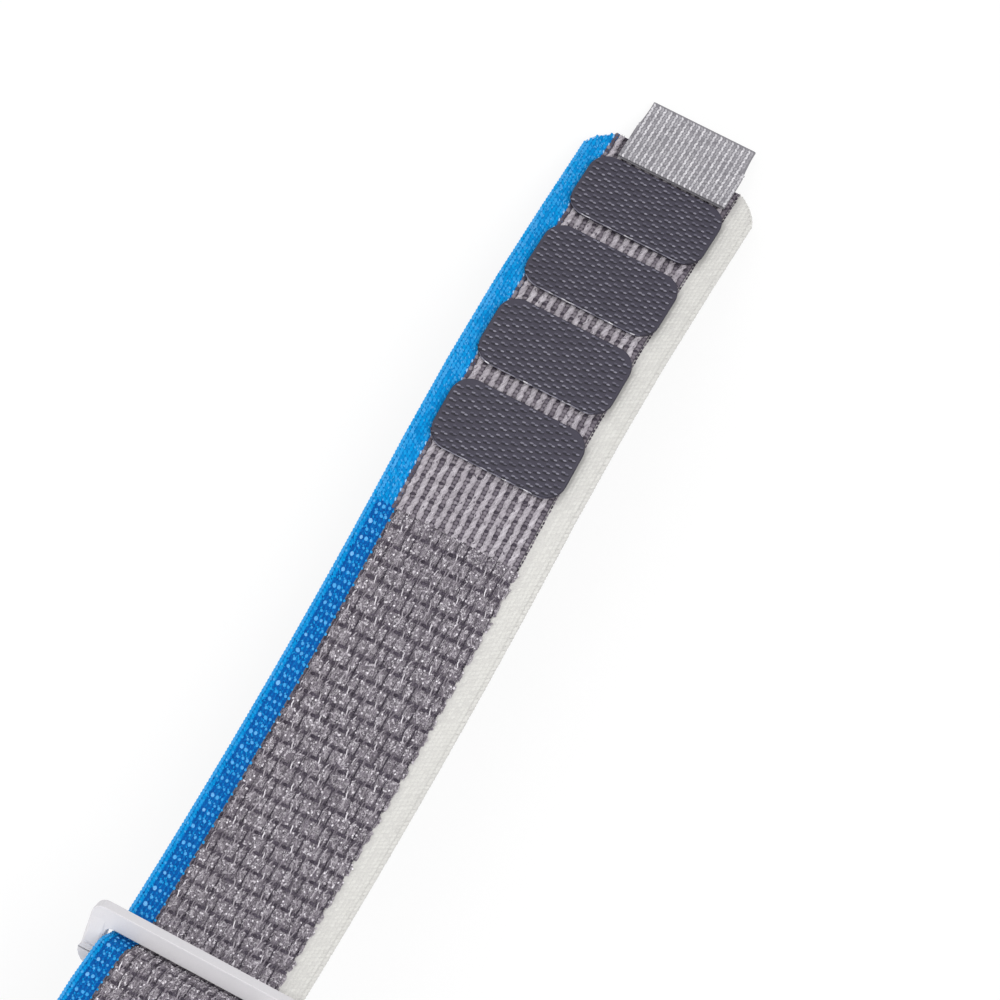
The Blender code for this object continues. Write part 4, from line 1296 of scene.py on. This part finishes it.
@dataclass
class Strap:
    """The whole strap: its cloth, hook pads, ribbon and lugs."""

    foot_angle: float = 253.5
    foot_radius: float = 2.4118 * MM
    # The line round the bar that the cloth bends along as the strap folds: x and z from the bar in mm
    crossing: tuple[Pair, Pair] = ((-2.5, 0.5), (2.3, -3.3))
    tab_turn: float = -15.1
    tab_base_turn: float = -21.1
    tab_bend: float = 0.9 * MM
    bar: Vector = field(init=False)
    foot: Pair = field(init=False)
    line: StrapLine = field(init=False)
    looks: dict[str, bpy.types.Material] = field(init=False)

    def __post_init__(self) -> None:
        """Find the strap's line and make its finishes."""
        self.bar = joint_point("tail_fold")
        angle = math.radians(self.foot_angle)
        self.foot = (self.bar.x + self.foot_radius * math.cos(angle), self.bar.z + self.foot_radius * math.sin(angle))
        self.line = StrapLine(self.foot)
        grain = grain_group()
        self.looks = {key: make_material(finish, grain) for key, finish in FINISHES.items()}

    def cloth(self) -> None:
        """Build the webbing length by length; the ends of each one's bend across its joint are worked out but not
        used.
        """
        materials = [self.looks["blue"], self.looks["grey"], self.looks["white"]]
        lengths = strap_lengths()
        for number, length in enumerate(lengths):
            capped = number in (0, len(lengths) - 1)
            item = Webbing(length.name, length.start * MM, length.stop * MM, self.line, materials, 100 + number,
                           capped).build()
            if length.bend is None:
                ends = [self.bar + Vector((x * MM, 0, z * MM)) for x, z in self.crossing]
            else:
                joint, half = length.bend
                way = 1 if joint > 0 else -1
                ends = [self.line.point((joint - way * half) * MM), self.line.point((joint + way * half) * MM)]
            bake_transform(item)
            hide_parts(*length.stands_for)

    def pads(self) -> None:
        """Build the four hook pads, from the one nearest the ring to the one nearest the tip."""
        for number, joint, inset in zip((4, 3, 2, 1), TAIL_JOINTS[2:], PAD_INSETS):
            start = (joint + inset) * MM
            item = HookPatch(f"hooks_{number}", start, self.line, self.looks["hook"], 40 + number).build()
            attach(item, f"tail_{8 - number}")
            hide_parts(f"hook_patch_{number}")

    def ribbon(self) -> None:
        """Build the pull tab, half on the strap's end and half beyond its bending line."""
        hinge = joint_point("pull_tab_flex")
        turns = math.radians(self.tab_turn), math.radians(self.tab_base_turn)
        item = Ribbon("ribbon", self.looks["ribbon"], hinge, *turns).build()
        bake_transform(item)
        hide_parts("pull_tab", "pull_tab_base")

    def lugs(self) -> None:
        """Give the carried-over lug pieces their finishes."""
        for name, node in frame["nodes"].items():
            if "_lug_" in name:
                node.material_slots[0].material = self.looks[LUG_FINISHES[name.split("_")[-1]]]
                LOG.info("%s: finish", name)


@dataclass(frozen=True)
class PhotoView:
    """The photo's camera, fitted in a frame that is tilted about the strap's foot."""

    lens: float = 212.6
    distance: float = 0.65
    toward: tuple[float, float, float] = (0, -0.181, 0.983)
    aim: tuple[float, float, float] = (60.3, -5.1, 0)
    roll: float = 27.19
    tilt: float = -7.0
    origin: Pair = (0.959 * MM, -0.284 * MM)

    def build(self, foot: Pair) -> None:
        """Make the camera and use it.

        Args:
            foot: x and z of the strap's foot in the row frame
        """
        data = bpy.data.cameras.new("photo_view")
        data.lens = self.lens
        data.sensor_width = 36.0
        data.clip_end = 10.0
        item = bpy.data.objects.new("photo_view", data)
        bpy.context.scene.collection.objects.link(item)
        toward = Vector(self.toward).normalized()
        right = (-toward).cross(Vector((1, 0, 0))).normalized()
        up = right.cross(-toward)
        roll = math.radians(self.roll)
        right, up = right * math.cos(roll) + up * math.sin(roll), up * math.cos(roll) - right * math.sin(roll)
        tilt = Matrix.Rotation(math.radians(self.tilt), 3, "Y")
        matrix = Matrix([tilt @ v for v in (right, up, toward)]).transposed().to_4x4()
        place = Vector(self.aim) * MM + toward * self.distance
        matrix.translation = tilt @ place + Vector((foot[0] + self.origin[0], 0, foot[1] + self.origin[1]))
        item.matrix_world = matrix
        bpy.context.scene.camera = item


@dataclass(frozen=True)
class Lamp:
    """A soft square lamp: its place, what it points at, its side and its power in watts."""

    name: str
    place: tuple[float, float, float]
    aim: tuple[float, float, float]
    size: float
    power: float

    def build(self) -> None:
        """Make the lamp."""
        data = bpy.data.lights.new(self.name, "AREA")
        data.size = self.size
        data.energy = self.power
        item = bpy.data.objects.new(self.name, data)
        item.location = self.place
        item.rotation_euler = (Vector(self.aim) - Vector(self.place)).to_track_quat("-Z", "Y").to_euler()
        bpy.context.scene.collection.objects.link(item)


LAMPS = (
    Lamp("key", (0.05, -0.5, 0.95), (0.03, 0, 0.015), 0.6, 6.5),
    Lamp("fill", (0.5, 0.5, 0.8), (0.03, 0, 0.015), 0.8, 2.5),
    Lamp("low", (-0.5, 0.35, 0.2), (0, 0, 0.01), 0.5, 1.5),
)
WORLD_LIGHT = 0.62
FLOOR_GLOW = 0.86
FLOOR_DROP = 0.00002


def shown_rays(tree: bpy.types.NodeTree) -> bpy.types.NodeSocket:
    """Tell the rays that the viewer sees from those that only carry light.

    Args:
        tree: the floor's or the world's nodes

    Returns:
        A socket with one for camera, glossy and transmission rays, and zero for the rest.
    """
    rays = add_node(tree, "LightPath")
    total = rays.outputs["Is Camera Ray"]
    for name in ("Is Glossy Ray", "Is Transmission Ray"):
        add = add_node(tree, "Math", use_clamp=True)
        tree.links.new(total, add.inputs[0])
        tree.links.new(rays.outputs[name], add.inputs[1])
        total = add.outputs[0]
    return total


def floor() -> None:
    """A pale floor that reads white to the camera and keeps a faint shadow."""
    bpy.ops.mesh.primitive_plane_add(size=6)
    item = bpy.context.object
    item.name = "floor"
    material = bpy.data.materials.new("floor_pale")
    material.use_nodes = True
    tree, links = material.node_tree, material.node_tree.links
    shader = tree.nodes["Principled BSDF"]
    shader.inputs["Base Color"].default_value = (0.85, 0.85, 0.85, 1)
    shader.inputs["Roughness"].default_value = 0.9
    glow = add_node(tree, "Emission", {"Strength": 1.0})
    mix = add_node(tree, "MixShader")
    share = add_node(tree, "Math", {1: FLOOR_GLOW}, operation="MULTIPLY")
    links.new(shown_rays(tree), share.inputs[0])
    links.new(share.outputs[0], mix.inputs["Fac"])
    links.new(shader.outputs[0], mix.inputs[1])
    links.new(glow.outputs[0], mix.inputs[2])
    links.new(mix.outputs[0], tree.nodes["Material Output"].inputs["Surface"])
    item.data.materials.append(material)
    item.location.z = -FLOOR_DROP


def world() -> None:
    """Soft light from all round, white to the camera."""
    scene = bpy.context.scene
    scene.world = bpy.data.worlds.new("studio")
    scene.world.use_nodes = True
    tree = scene.world.node_tree
    back = tree.nodes["Background"]
    back.inputs["Color"].default_value = (1, 1, 1, 1)
    level = add_node(tree, "MapRange", {"To Min": WORLD_LIGHT, "To Max": 1.0})
    tree.links.new(shown_rays(tree), level.inputs["Value"])
    tree.links.new(level.outputs["Result"], back.inputs["Strength"])
    scene.view_settings.view_transform = "Standard"


def main() -> None:
    """Build every piece of the picture in order."""
    logging.basicConfig(level=logging.INFO, format="%(message)s")
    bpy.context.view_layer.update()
    strap = Strap()
    strap.cloth()
    strap.pads()
    strap.ribbon()
    strap.lugs()
    world()
    floor()
    for lamp in LAMPS:
        lamp.build()
    PhotoView().build(strap.foot)


if __name__ == "__main__":
    main()
